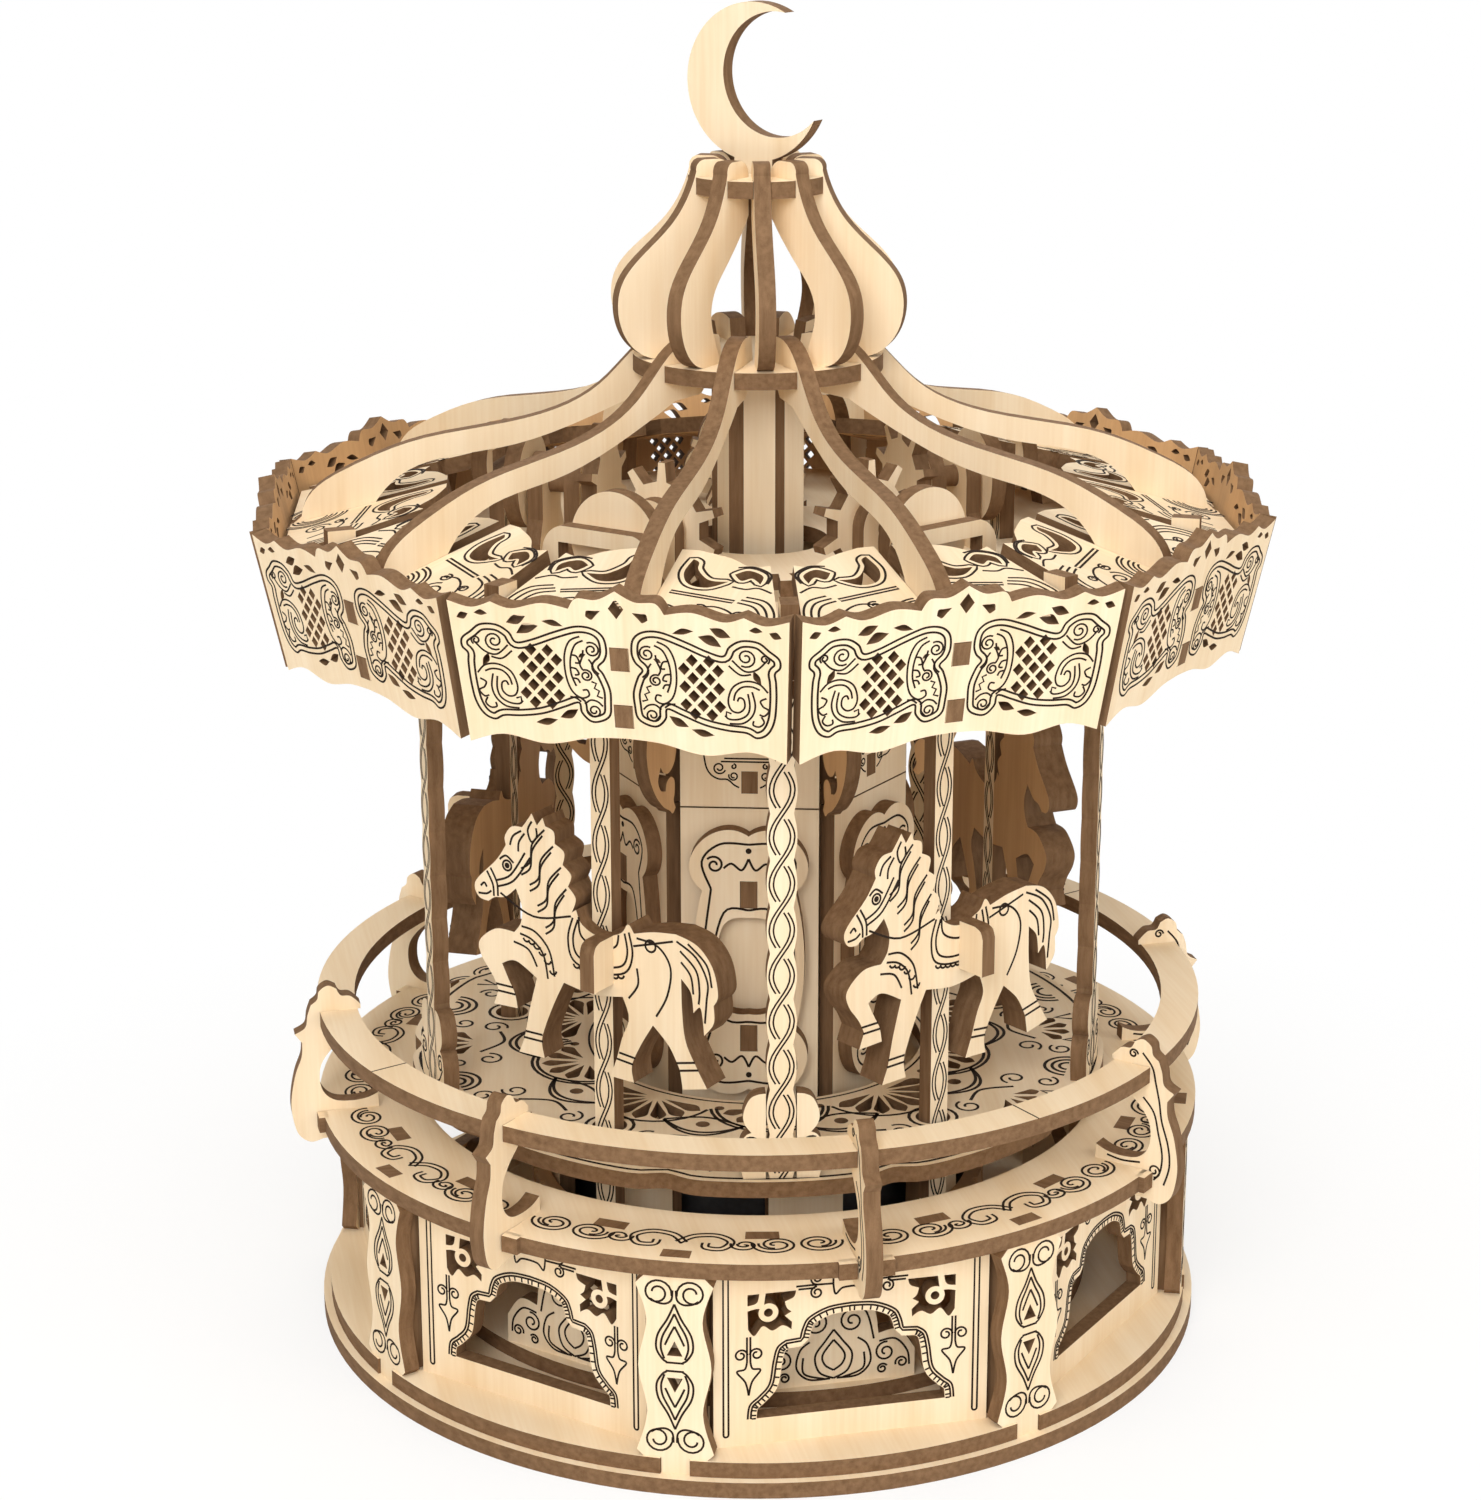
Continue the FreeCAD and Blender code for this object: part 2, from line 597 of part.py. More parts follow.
def canopy_columns():
    height = (CANOPY_Z - PLATFORM_TOP) / TWISTS
    half = [(TWIST_WAIST / 2, 0.0)]
    for index in range(TWISTS):
        half.append(((TWIST_WIDTH / 2, height * (index + 0.5)), (TWIST_WAIST / 2, height * (index + 1))))
    inner_face = TWIST_COLUMN_R - PLY / 2
    stem = facing_out(plate(outline(mirrored(half))), inner_face, PLATFORM_TOP)
    inner = TWIST_WIDTH / 2 + FIT
    wide = inner + FOOT_WIDTH
    foot = [(inner, 0.0), (wide, 0.0), [(wide, FOOT_HEIGHT * 0.4), (inner + FOOT_WIDTH / 2, FOOT_HEIGHT / 2)],
            [(wide - 0.6, FOOT_HEIGHT * 0.85), (inner, FOOT_HEIGHT)]]
    feet = []
    for shape in (foot, flipped(foot)):
        feet += ring_of(facing_out(plate(outline(shape)), inner_face, PLATFORM_TOP), HORSES, CAROUSEL_TURN)
    save("canopy_columns", ring_of(stem, HORSES, CAROUSEL_TURN))
    save("column_feet", feet)


def valance_point(up, inward):
    """Distance from the axis and height of a point on the leaning valance, in the plane of a rib."""
    distance = VALANCE_FOOT_R + up * sine(VALANCE_LEAN) - inward * cosine(VALANCE_LEAN)
    return (distance, VALANCE_FOOT_Z + up * cosine(VALANCE_LEAN) + inward * sine(VALANCE_LEAN))


def canopy_floor():
    corners = polygon(ROOF_SIDES, CANOPY_APOTHEM, CAROUSEL_TURN)
    floor = plate(outline(corners), [circle(CANOPY_HOLE_R)])
    floor = rim_slots(floor, ROOF_SIDES, RIB_TURN, CANOPY_APOTHEM - CANOPY_SLOT, 4 * PLY)
    half = PLY / 2 + CLEAR
    floor = rim_slots(floor, HORSES, HORSE_TURN, POLE_AT - half, 2 * half, POLE_WIDTH / 2 + CLEAR)
    save("canopy_floor", [raised(floor, CANOPY_Z)])


def valance_panels():
    foot = (VALANCE_FOOT_R - PLY) * ROOF_NARROW - FIT
    head = foot + VALANCE_HEIGHT * sine(VALANCE_LEAN) * ROOF_NARROW
    top = VALANCE_HEIGHT
    half = [
        (0.0, 2.6),
        [(foot * 0.22, 2.2), (foot * 0.5, 0.6), (foot * 0.78, 1.8), (foot, 0.0)],
        (head, top),
        [(head * 0.86, top - 1.0), (head * 0.74, top + 0.2)],
        [(head * 0.62, top - 0.8), (head * 0.44, top + 0.5), (head * 0.28, top - 0.2)],
        [(head * 0.23, top + 1.7), (head * 0.11, top + 1.7), (0.0, top + VALANCE_CREST)],
    ]
    holes = [slot_for(heights) for heights in VALANCE_TENONS]
    corner = [(head * 0.74, top - 2.6), [(head * 0.84, top - 2.4), (head * 0.93, top - 4.4)],
              [(head * 0.84, top - 4.6), (head * 0.74, top - 2.6)]]
    holes += [outline(corner), outline(flipped(corner))]
    for column_index in range(3):
        for row in range(2):
            across = foot * (0.34 + 0.13 * column_index)
            up = top * (0.41 + 0.16 * row)
            diamond = [(across - LATTICE_HALF, up), (across, up - LATTICE_RISE), (across + LATTICE_HALF, up),
                       (across, up + LATTICE_RISE)]
            holes += [outline(diamond), outline(flipped(diamond))]
    panel = plate(outline(mirrored(half)), holes)
    panel.rotate(ORIGIN, ACROSS, 90 + VALANCE_LEAN)
    inner = valance_point(0.0, PLY)
    panel.translate(FreeCAD.Vector(0, -inner[0], inner[1]))
    save("valance_panels", ring_of(panel, ROOF_SIDES, RIB_TURN))


def skirt_level(distance):
    """Height of the top of the sloping skirt at this distance from the axis, over a rib."""
    return SKIRT_OUTER_Z + SKIRT_CLIMB * (SKIRT_OUTER_R - distance) / SKIRT_DEPTH


def skirt_panels():
    tilt = math.degrees(math.atan2(SKIRT_CLIMB, SKIRT_DEPTH))
    length = math.hypot(SKIRT_CLIMB, SKIRT_DEPTH)
    rib_side = PLY / 2 + FIT
    tie_side = PLY / 2 * ROOF_WIDEN + 2 * FIT + PLY * sine(tilt) * ROOF_NARROW
    outer_half = SKIRT_OUTER_R * ROOF_NARROW - tie_side
    cusp = length * 0.87
    cusp_half = (SKIRT_OUTER_R - cusp * cosine(tilt)) * ROOF_NARROW - tie_side
    edge = [
        (rib_side, 0.0),
        (rib_side, length),
        (rib_side + PLY, length),
        [(rib_side + 3 * PLY, length * 0.93), (cusp_half - PLY, cusp - 1.0), (cusp_half, cusp)],
        (outer_half, 0.0),
    ]
    leaf = [
        (outer_half * 0.16, length * 0.82),
        [(outer_half * 0.2, length * 0.58), (outer_half * 0.46, length * 0.5)],
        [(outer_half * 0.4, length * 0.72), (outer_half * 0.16, length * 0.82)],
    ]
    panels = []
    for shape, cut in ((edge, leaf), (flipped(edge), flipped(leaf))):
        panel = raised(plate(outline(shape), [outline(cut)]), -PLY)
        panel.rotate(ORIGIN, ACROSS, tilt)
        panel.translate(FreeCAD.Vector(0, -SKIRT_OUTER_R, SKIRT_OUTER_Z))
        panels += ring_of(panel, ROOF_SIDES, RIB_TURN)
    save("skirt_panels", panels)


def corner_ties():
    """Upright plates at the corners of the roof, which stand on the floor and key the skirts together."""
    outer = CANOPY_APOTHEM * ROOF_WIDEN - CLEAR
    top = skirt_level((outer - TIE_TAB) / ROOF_WIDEN) + TIE_PROUD
    tie = [
        (outer - TIE_FOOT, CANOPY_TOP),
        (outer, CANOPY_TOP),
        (outer, top),
        (outer - TIE_TAB, top),
        (outer - TIE_TAB, CANOPY_TOP + SKIRT_RISE * 0.8),
        (outer - TIE_FOOT, CANOPY_TOP + SKIRT_RISE / 2),
    ]
    save("corner_ties", ring_of(radial(plate(outline(tie))), ROOF_SIDES, CAROUSEL_TURN))


def on_rib(out, up):
    """A point between the collar's rim, at 0 and 1, and the skirt's outer edge, at 1 and 0."""
    return (COLLAR_R + (SKIRT_OUTER_R - COLLAR_R) * out, SKIRT_OUTER_Z + (COLLAR_Z - SKIRT_OUTER_Z) * up)


def roof_ribs():
    """Curved ribs hooked into the collar, with a leg in the canopy floor and two tenons in the valance."""
    neck = POST_R + 1.0
    leg = CANOPY_APOTHEM - CANOPY_SLOT + FIT
    low, high = VALANCE_TENONS
    rib = [
        (neck, COLLAR_Z + PLY),
        on_rib(-0.2, 1.26),
        [on_rib(-0.05, 1.22), on_rib(0.09, 0.92), on_rib(0.38, 0.655), on_rib(0.64, 0.543),
         on_rib(0.83, 0.37), on_rib(0.95, 0.17), on_rib(0.968, 0.05)],
        valance_point(high[1], PLY),
        valance_point(high[1], -FIT),
        valance_point(high[0], -FIT),
        valance_point(high[0], PLY),
        valance_point(low[1], PLY),
        valance_point(low[1], -FIT),
        valance_point(low[0], -FIT),
        valance_point(low[0], PLY),
        (CANOPY_APOTHEM - CLEAR, CANOPY_Z - PLY),
        (leg, CANOPY_Z - PLY / 2),
        (leg, CANOPY_TOP),
        (leg - 2.0, CANOPY_TOP),
        on_rib(0.755, 0.13),
        [on_rib(0.64, 0.367), on_rib(0.38, 0.496), on_rib(0.09, 0.727), on_rib(-0.04, 0.87)],
        (COLLAR_NOTCH - 2.0, COLLAR_Z - PLY),
        (COLLAR_NOTCH - 4.4, COLLAR_Z),
        (COLLAR_NOTCH, COLLAR_Z),
        (COLLAR_NOTCH, COLLAR_Z + PLY),
    ]
    save("roof_ribs", ring_of(radial(plate(outline(rib))), ROOF_SIDES, RIB_TURN))


def collars():
    lower = rim_slots(plate(circle(COLLAR_R)), ROOF_SIDES, RIB_TURN, COLLAR_NOTCH - FIT, COLLAR_R)
    upper = rim_slots(plate(circle(TOP_COLLAR_R)), ROOF_SIDES, CAROUSEL_TURN, TOP_NOTCH - FIT, TOP_COLLAR_R)
    corner = FreeCAD.Vector(-STEM_HALF - FIT, -PLY / 2 - FIT, 0)
    slot = turned(Part.makeBox(2 * (STEM_HALF + FIT), PLY + 2 * FIT, PLY, corner), CRESCENT_TURN)
    save("lower_collar", [raised(lower, COLLAR_Z)])
    save("top_collar", [raised(upper.cut(slot), TOP_COLLAR_Z)])


def on_dome(out, up):
    """A point between the rims of the collars: out from the top one's, and up from the lower one's top."""
    base = COLLAR_Z + PLY
    return (TOP_COLLAR_R + (COLLAR_R - TOP_COLLAR_R) * out, base + (TOP_COLLAR_Z - base) * up)


def dome_ribs():
    """Onion-shaped ribs that stand on the lower collar and hook into the top collar."""
    hook = TOP_NOTCH * 0.57
    shoulder = (hook, on_dome(0.0, 1.13)[1])
    rib = [
        on_dome(0.22, 0.0),
        on_dome(0.75, 0.0),
        [on_dome(1.24, 0.11), on_dome(1.43, 0.3), on_dome(1.36, 0.47), on_dome(0.97, 0.645),
         on_dome(0.39, 0.845), on_dome(0.05, 1.06), on_dome(-0.02, 1.14)],
        (on_dome(-0.06, 1.19), on_dome(-0.2, 1.21)),
        on_dome(-0.45, 1.21),
        (on_dome(-0.61, 1.18), shoulder),
        (hook, TOP_COLLAR_Z + PLY),
        (TOP_NOTCH, TOP_COLLAR_Z + PLY),
        (TOP_NOTCH, TOP_COLLAR_Z),
        (hook, TOP_COLLAR_Z),
        (hook, on_dome(0.0, 0.87)[1]),
        [on_dome(-0.35, 0.72), on_dome(0.1, 0.56), on_dome(0.38, 0.45), on_dome(0.5, 0.31),
         on_dome(0.42, 0.18), on_dome(0.22, 0.0)],
    ]
    save("dome_ribs", ring_of(radial(plate(outline(rib))), ROOF_SIDES, CAROUSEL_TURN))


def crescent():
    shift = CRESCENT_R * 0.35
    mouth = circle(CRESCENT_R * 0.785, shift * cosine(18), CRESCENT_Z + shift * sine(18))
    ring = plate(circle(CRESCENT_R, 0, CRESCENT_Z)).cut(plate(mouth))
    stem = plate(rectangle(-STEM_HALF, TOP_COLLAR_Z, STEM_HALF, CRESCENT_Z - CRESCENT_R + PLY))
    moon = facing_out(ring.fuse(stem).removeSplitter(), -PLY / 2)
    save("crescent", [turned(moon.Solids[0], CRESCENT_TURN)])


def centre_post():
    corners = polygon(6, POST_R * cosine(30), RIB_TURN)
    post = raised(plate(outline(corners), [], COLLAR_Z - POST_Z), POST_Z)
    save("centre_post", [post.cut(pillar(DRIVE_SHAFT_R, POST_Z, POST_Z + SHAFT_SOCKET))])


# Horse drive


def crank_bearings():
    axis = CRANK_Z - CANOPY_TOP
    half = BEARING_HALF
    crown = ((0.0, axis + half), (-half, axis))
    left = [(-half, axis / 2), (-BEARING_FOOT, 2.0), (-BEARING_FOOT, 0.0)]
    shape = [(BEARING_FOOT, 0.0), (BEARING_FOOT, 2.0), (half, axis / 2), (half, axis), crown] + left
    bearing = plate(outline(shape), [circle(AXLE_R + RUN, 0, axis)])
    solids = []
    for inner in (BEARING_1, BEARING_2):
        solids += ring_of(facing_out(bearing, inner, CANOPY_TOP), HORSES, HORSE_TURN)
    save("crank_bearings", solids)


def crank_phase(index):
    """Turn of this crank at rest, from straight up, which follows from its place round the sun gear."""
    return CRANK_PHASE + HORSE_STEP * index * (SUN_TEETH / CRANK_TEETH - 1)


def cranks():
    roller = facing_out(roller_gear(CRANK_PITCH_R, PLY), SUN_PITCH_R - PLY / 2, CRANK_Z)
    axle = rod(AXLE_R, SUN_PITCH_R - PLY / 2, DISC_OUTER, CRANK_Z)
    disc = rod(THROW + PIN_R + CRANK_RIM, DISC_INNER, DISC_OUTER, CRANK_Z)
    for index in range(HORSES):
        phase = crank_phase(index)
        pin = rod(PIN_R, DISC_INNER, PIN_END, CRANK_Z + THROW * cosine(phase), THROW * sine(phase))
        crank = roller.fuse(axle).fuse(disc).fuse(pin).removeSplitter()
        save("crank_%d" % (index + 1), [turned(crank, HORSE_TURN + HORSE_STEP * index)])


def horse_outline():
    """Side of a galloping carousel horse that looks to the left, hooves at y = 0 and the pole at x = 0."""
    head = [(-14.0, 51.0), [(-18.0, 46.5), (-22.5, 40.5), (-28.3, 34.0), (-26.0, 30.8), (-17.5, 34.5)],
            [(-16.6, 30.0), (-18.5, 25.5)]]
    raised_leg = [[(-24.5, 24.5), (-27.8, 20.5), (-24.0, 14.0), (-22.5, 9.5)], (-18.5, 10.0),
                  [(-19.5, 14.5), (-22.0, 19.0)], [(-17.0, 19.5), (-13.5, 17.0)]]
    front_leg = [[(-15.5, 10.0), (-17.5, 4.0), (-18.0, 0.5)], (-12.5, 0.5), [(-12.0, 4.5), (-7.0, 17.5)]]
    belly = [[(0.0, 16.5), (7.0, 17.5)]]
    hind_leg = [[(8.4, 13.0), (4.8, 4.5), (3.0, 0.0)], (8.5, 0.0), [(10.0, 4.0), (14.0, 13.0)]]
    far_leg = [[(18.0, 9.0), (22.0, 0.8)], (26.5, 2.5), [(21.8, 11.0), (20.5, 24.0)]]
    tail = [[(24.0, 22.0), (27.0, 15.0)], [(29.0, 22.0), (27.0, 28.5), (19.5, 32.5)]]
    back = [[(9.5, 31.5), (1.5, 28.6), (-4.5, 31.5), (-7.5, 41.0), (-11.5, 49.5)]]
    drawn = head + raised_leg + front_leg + belly + hind_leg + far_leg + tail + back
    size = HORSE_HEIGHT / drawn[0][1]
    return [[(x * size, y * size) for x, y in step] if isinstance(step, list)
            else (step[0] * size, step[1] * size) for step in drawn]


def horses():
    side = plate(outline(horse_outline()))
    half = POLE_WIDTH / 2
    reach = THROW + PIN_R
    slot = rectangle(-reach - CLEAR, -PIN_R - CLEAR, reach + CLEAR, PIN_R + CLEAR)
    foot = PLATFORM_TOP - POLE_TAIL - CRANK_Z
    wide = reach + HEAD_WALL
    stem = [(half, foot), (half, -POLE_HEAD), (reach, -POLE_HEAD), ((wide, 0.0), (reach, POLE_HEAD))]
    pole = plate(outline(mirrored(stem)), [slot])
    peg = Part.makeBox(PEG_WIDTH, PLY * 2, PEG_HEIGHT, FreeCAD.Vector(PEG_WIDTH / 2, 0, PEG_AT))
    backing = side.cut(plate(rectangle(-half, 0, half, HORSE_HEIGHT)))
    for index in range(HORSES):
        lift = THROW * cosine(crank_phase(index))
        hooves = PLATFORM_TOP + HORSE_LIFT + lift
        turn = HORSE_TURN + HORSE_STEP * index
        solids = [facing_out(side, POLE_OUTER, hooves)]
        solids += [facing_out(layer, POLE_INNER, hooves) for layer in backing.Solids]
        solids.append(peg.translated(FreeCAD.Vector(0, -POLE_OUTER - PLY * 3, hooves)))
        save("horse_%d" % (index + 1), [turned(solid, turn) for solid in solids])
        save("horse_pole_%d" % (index + 1), [turned(facing_out(pole, POLE_INNER, CRANK_Z + lift), turn)])


# Movement in the base


def movement_housing():
    wall = plate(circle(COVER_R), [circle(COVER_R - COVER_WALL)], COVER_HEIGHT - COVER_WALL)
    lid = raised(plate(circle(COVER_R), [circle(BUSH_R)], COVER_WALL), COVER_HEIGHT - COVER_WALL)
    bore = circle(DRIVE_SHAFT_R + RUN)
    sleeve = raised(plate(circle(BUSH_R - FIT), [bore], PLY), DECK_Z)
    flange = raised(plate(circle(BUSH_R + DRIVE_SHAFT_R), [bore], BUSH_FLANGE), DECK_TOP)
    save("movement_cover", [raised(wall.fuse(lid).removeSplitter(), FLOOR_Z)])
    save("post_bush", [sleeve.fuse(flange).removeSplitter()])


def cylinder_bearing(distance):
    """Upright post of the bedplate with a bearing for the pin cylinder."""
    half = BED_LEG * 0.75
    height = CYLINDER_Z + BED_LEG * 0.6 - BED_Z
    post = Part.makeBox(2 * half, BED_PLATE, height, FreeCAD.Vector(-half, -distance - BED_PLATE, BED_Z))
    return post.cut(rod(AXLE_R / 2 + RUN, distance - PLY, distance + PLY, CYLINDER_Z))


def bedplate():
    length = (COVER_R - COVER_WALL - 1.0) * 1.86
    bed = Part.makeBox(2 * BED_HALF, length, BED_PLATE, FreeCAD.Vector(-BED_HALF, -length / 2, BED_Z))
    bed = bed.cut(pillar(KEY_STEM_R + CLEAR, FLOOR_Z, BED_Z + PLY))
    for x in (-BED_HALF, BED_HALF - BED_LEG):
        for y in (-length * 0.46, length * 0.46 - BED_LEG):
            leg = Part.makeBox(BED_LEG, BED_LEG, BED_Z - FLOOR_Z, FreeCAD.Vector(x, y, FLOOR_Z))
            bed = bed.fuse(leg)
    bed = bed.fuse(cylinder_bearing(CYLINDER_START - BED_PLATE - SPUR_GAP))
    bed = bed.fuse(cylinder_bearing(CYLINDER_END + SPUR_GAP))
    pivot = pillar(GOVERNOR_SHAFT_R + RUN, FLOOR_Z, BED_Z + PLY).translated(OUT * -GOVERNOR_AT)
    save("movement_bedplate", [bed.cut(pivot).removeSplitter()])


def spring_barrel():
    spring_top = CROWN_Z - SPUR_PLATE
    spring_foot = SPUR_Z + SPUR_PLATE
    spur = turned(raised(spur_gear(BARREL_TEETH), SPUR_Z), 180.0)
    crown = raised(crown_gear(CROWN_PITCH_R, MOVEMENT_PITCH_R, MOVEMENT_PLATE, DRIVE_SHAFT_R), CROWN_Z)
    hollow = pillar(BARREL_R - BARREL_WALL, spring_foot, spring_top)
    barrel = pillar(BARREL_R, SPUR_Z, CROWN_Z).fuse(spur).cut(hollow)
    barrel = barrel.cut(pillar(KEY_STEM_R + CLEAR, SPUR_Z, spring_foot))
    coil = plate(circle(BARREL_R - BARREL_WALL), [circle(KEY_STEM_R + BARREL_WALL)], spring_top - spring_foot)
    save("spring_barrel", [barrel.fuse(crown).removeSplitter()])
    save("drive_shaft", [pillar(DRIVE_SHAFT_R, CROWN_Z, POST_Z + SHAFT_SOCKET)])
    save("mainspring", [raised(coil, spring_foot)])


def pin_cylinder():
    start = CROWN_PITCH_R - MOVEMENT_PLATE / 2
    gear = facing_out(roller_gear(MOVEMENT_PITCH_R, MOVEMENT_PLATE), start, CYLINDER_Z)
    axle = rod(AXLE_R / 2, start, CYLINDER_END + SPUR_GAP + BED_PLATE, CYLINDER_Z)
    drum = rod(CYLINDER_R, CYLINDER_START, CYLINDER_END, CYLINDER_Z)
    save("pin_cylinder", [gear.fuse(axle).fuse(drum).removeSplitter()])


def tone_comb():
    """Steel comb beside the pin cylinder, on a block of the bedplate, its tips clear of the cylinder."""
    length = CYLINDER_END - CYLINDER_START
    pitch = length / COMB_TEETH
    back = CYLINDER_R + COMB_LENGTH
    root = back - COMB_BACK
    tips = CYLINDER_R + CLEAR
    corners = [(back, -CYLINDER_START)]
    for index in range(COMB_TEETH):
        low = -CYLINDER_START - pitch * (index + 0.1)
        high = -CYLINDER_START - pitch * (index + 0.9)
        corners += [(root, low), (tips, low), (tips, high), (root, high)]
    corners.append((back, -CYLINDER_END))
    comb = plate(outline(corners), [], COMB_PLATE)
    seat = BED_Z + BED_PLATE
    block = Part.makeBox(COMB_BACK, length, CYLINDER_Z - seat, FreeCAD.Vector(root, -CYLINDER_END, seat))
    save("tone_comb", [raised(comb, CYLINDER_Z), block])


def governor():
    gear = turned(raised(spur_gear(GOVERNOR_TEETH), SPUR_Z), 180.0 / GOVERNOR_TEETH)
    shaft = pillar(GOVERNOR_SHAFT_R, BED_Z, BED_Z + GOVERNOR_SHAFT)
    vane_corner = FreeCAD.Vector(-VANE_HALF, -COMB_PLATE / 2, CROWN_Z + SPUR_PLATE)
    vane = Part.makeBox(2 * VANE_HALF, COMB_PLATE, VANE_HEIGHT, vane_corner)
    save("governor", [gear.fuse(shaft).fuse(vane).removeSplitter().translated(OUT * -GOVERNOR_AT)])


def winding_key():
    grips = [circle(KEY_GRIP_R, x, 0) for x in (-KEY_R * 0.58, KEY_R * 0.58)]
    knob = raised(plate(circle(KEY_R), grips, PLY - 2 * KEY_INSET), KEY_INSET)
    stem = pillar(KEY_STEM_R, KEY_INSET, SPUR_Z + PLY)
    save("winding_key", [knob.fuse(stem).removeSplitter()])


os.makedirs("parts", exist_ok=True)
for build in (base_discs, wall_panels, pilasters, window_plaques, inner_drum, deck_and_rail, column, capital,
              sun_gear, platform, canopy_columns, canopy_floor, valance_panels, skirt_panels, corner_ties,
              roof_ribs, collars, dome_ribs, crescent, centre_post, crank_bearings, cranks, horses,
              movement_housing, bedplate, spring_barrel, pin_cylinder, tone_comb, governor, winding_key):
    build()
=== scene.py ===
import bpy
import bmesh
import math
import random
from mathutils import Matrix, Vector
from mathutils.geometry import tessellate_polygon


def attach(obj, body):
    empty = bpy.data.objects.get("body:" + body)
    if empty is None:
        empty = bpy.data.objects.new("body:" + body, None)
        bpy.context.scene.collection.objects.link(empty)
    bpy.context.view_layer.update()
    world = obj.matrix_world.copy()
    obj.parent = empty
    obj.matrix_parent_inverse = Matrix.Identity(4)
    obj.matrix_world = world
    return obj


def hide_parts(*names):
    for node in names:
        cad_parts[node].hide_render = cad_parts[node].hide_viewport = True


# Carousel music box of laser-cut plywood. Lengths are millimetres until a mesh is made.
# Angles are measured about +Z from the front, and grow towards +X.

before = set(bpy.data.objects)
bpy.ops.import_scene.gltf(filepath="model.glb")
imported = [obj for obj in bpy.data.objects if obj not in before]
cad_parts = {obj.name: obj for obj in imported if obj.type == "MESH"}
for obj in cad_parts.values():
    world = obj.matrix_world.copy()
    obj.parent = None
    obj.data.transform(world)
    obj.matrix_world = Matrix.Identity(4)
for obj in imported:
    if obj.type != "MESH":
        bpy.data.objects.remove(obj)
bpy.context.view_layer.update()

MM = 0.001
PLY = 3.0
# Slot 3 holds painted shade: a darker, warmer copy of the birch, put on back faces and on parts that stand in shade.
FACE, EDGE, LINE, PAINTED_SHADE_SLOT = 0, 1, 2, 3
PEN = 0.42             # width of an engraved line
PROUD = 0.04           # engraved line above the plate's surface
SUNK = 0.06            # and below it

random.seed(7)


# Outlines


def curve(points, closed=False, steps=6):
    """Smooth line through the points."""
    count = len(points)
    made = []
    for index in range(count if closed else count - 1):
        if closed:
            four = [points[(index + k) % count] for k in (-1, 0, 1, 2)]
        else:
            four = [points[min(max(index + k, 0), count - 1)] for k in (-1, 0, 1, 2)]
        for step in range(steps):
            t = step / steps
            made.append(tuple(
                0.5 * (2 * b + (c - a) * t + (2 * a - 5 * b + 4 * c - d) * t * t + (3 * b - a - 3 * c + d) * t ** 3)
                for a, b, c, d in zip(*four)))
    if not closed:
        made.append(points[-1])
    return made


def shape(start, *stretches):
    """Closed outline. Each stretch goes on from the last point: straight to one point, smooth through several."""
    made = [start]
    for stretch in stretches:
        made += curve(made[-1:] + stretch)[1:] if len(stretch) > 1 else stretch
    return made[:-1] if made[0] == made[-1] else made


def arc(x, y, radius, start, end, steps=20):
    angles = [math.radians(start + (end - start) * step / steps) for step in range(steps + 1)]
    return [(x + radius * math.cos(a), y + radius * math.sin(a)) for a in angles]


def circle(x, y, radius, steps=28):
    return arc(x, y, radius, 0, 360, steps)[:-1]


def spiral(x, y, outer, inner, start, turns, steps=26):
    made = []
    for step in range(steps + 1):
        part = step / steps
        angle = math.radians(start + 360 * turns * part)
        radius = outer + (inner - outer) * part
        made.append((x + radius * math.cos(angle), y + radius * math.sin(angle)))
    return made


def drop(x, y, length, width, angle, steps=8):
    """Teardrop with its point at x, y."""
    side = curve([(0, 0), (length * 0.45, width * 0.3), (length * 0.78, width * 0.5), (length, 0)], steps=steps)
    loop = side + [(a, -b) for a, b in reversed(side[1:-1])]
    c, s = math.cos(math.radians(angle)), math.sin(math.radians(angle))
    return [(x + a * c - b * s, y + a * s + b * c) for a, b in loop]


def leaf(start, end, bulge, other=0.0):
    """Leaf between two points. Its sides bulge by these parts of its length."""
    dx, dy = end[0] - start[0], end[1] - start[1]
    one = (start[0] + dx * 0.5 - dy * bulge, start[1] + dy * 0.5 + dx * bulge)
    two = (start[0] + dx * 0.5 - dy * other, start[1] + dy * 0.5 + dx * other)
    return curve([start, one, end]) + curve([end, two, start])[1:-1]


def diamond(x, y, half, rise):
    return [(x + half, y), (x, y + rise), (x - half, y), (x, y - rise)]


def box(left, bottom, right, top):
    return [(left, bottom), (right, bottom), (right, top), (left, top)]


def flip(line):
    return [(-x, y) for x, y in line]


def both(lines):
    return list(lines) + [flip(line) for line in lines]


def area(loop):
    return sum(a[0] * b[1] - b[0] * a[1] for a, b in zip(loop, loop[1:] + loop[:1])) / 2


def sideways(line, closed):
    """Unit normals to the left of a line at its points."""
    count = len(line)
    made = []
    for index in range(count):
        before = line[index - 1] if closed or index else line[0]
        after = line[(index + 1) % count] if closed or index < count - 1 else line[-1]
        dx, dy = after[0] - before[0], after[1] - before[1]
        size = math.hypot(dx, dy) or 1.0
        made.append((-dy / size, dx / size))
    return made


def inset(loop, distance):
    """Closed outline moved inwards by this distance."""
    sign = distance if area(loop) > 0 else -distance
    return [(x + nx * sign, y + ny * sign) for (x, y), (nx, ny) in zip(loop, sideways(loop, True))]


def band(path, gap):
    """Two lines that follow a path on either side."""
    return [[(x + nx * side, y + ny * side) for (x, y), (nx, ny) in zip(path, sideways(path, False))]
            for side in (-gap / 2, gap / 2)]


def polar(radius, angle):
    return (radius * math.sin(math.radians(angle)), -radius * math.cos(math.radians(angle)))


# Plates and engraved lines


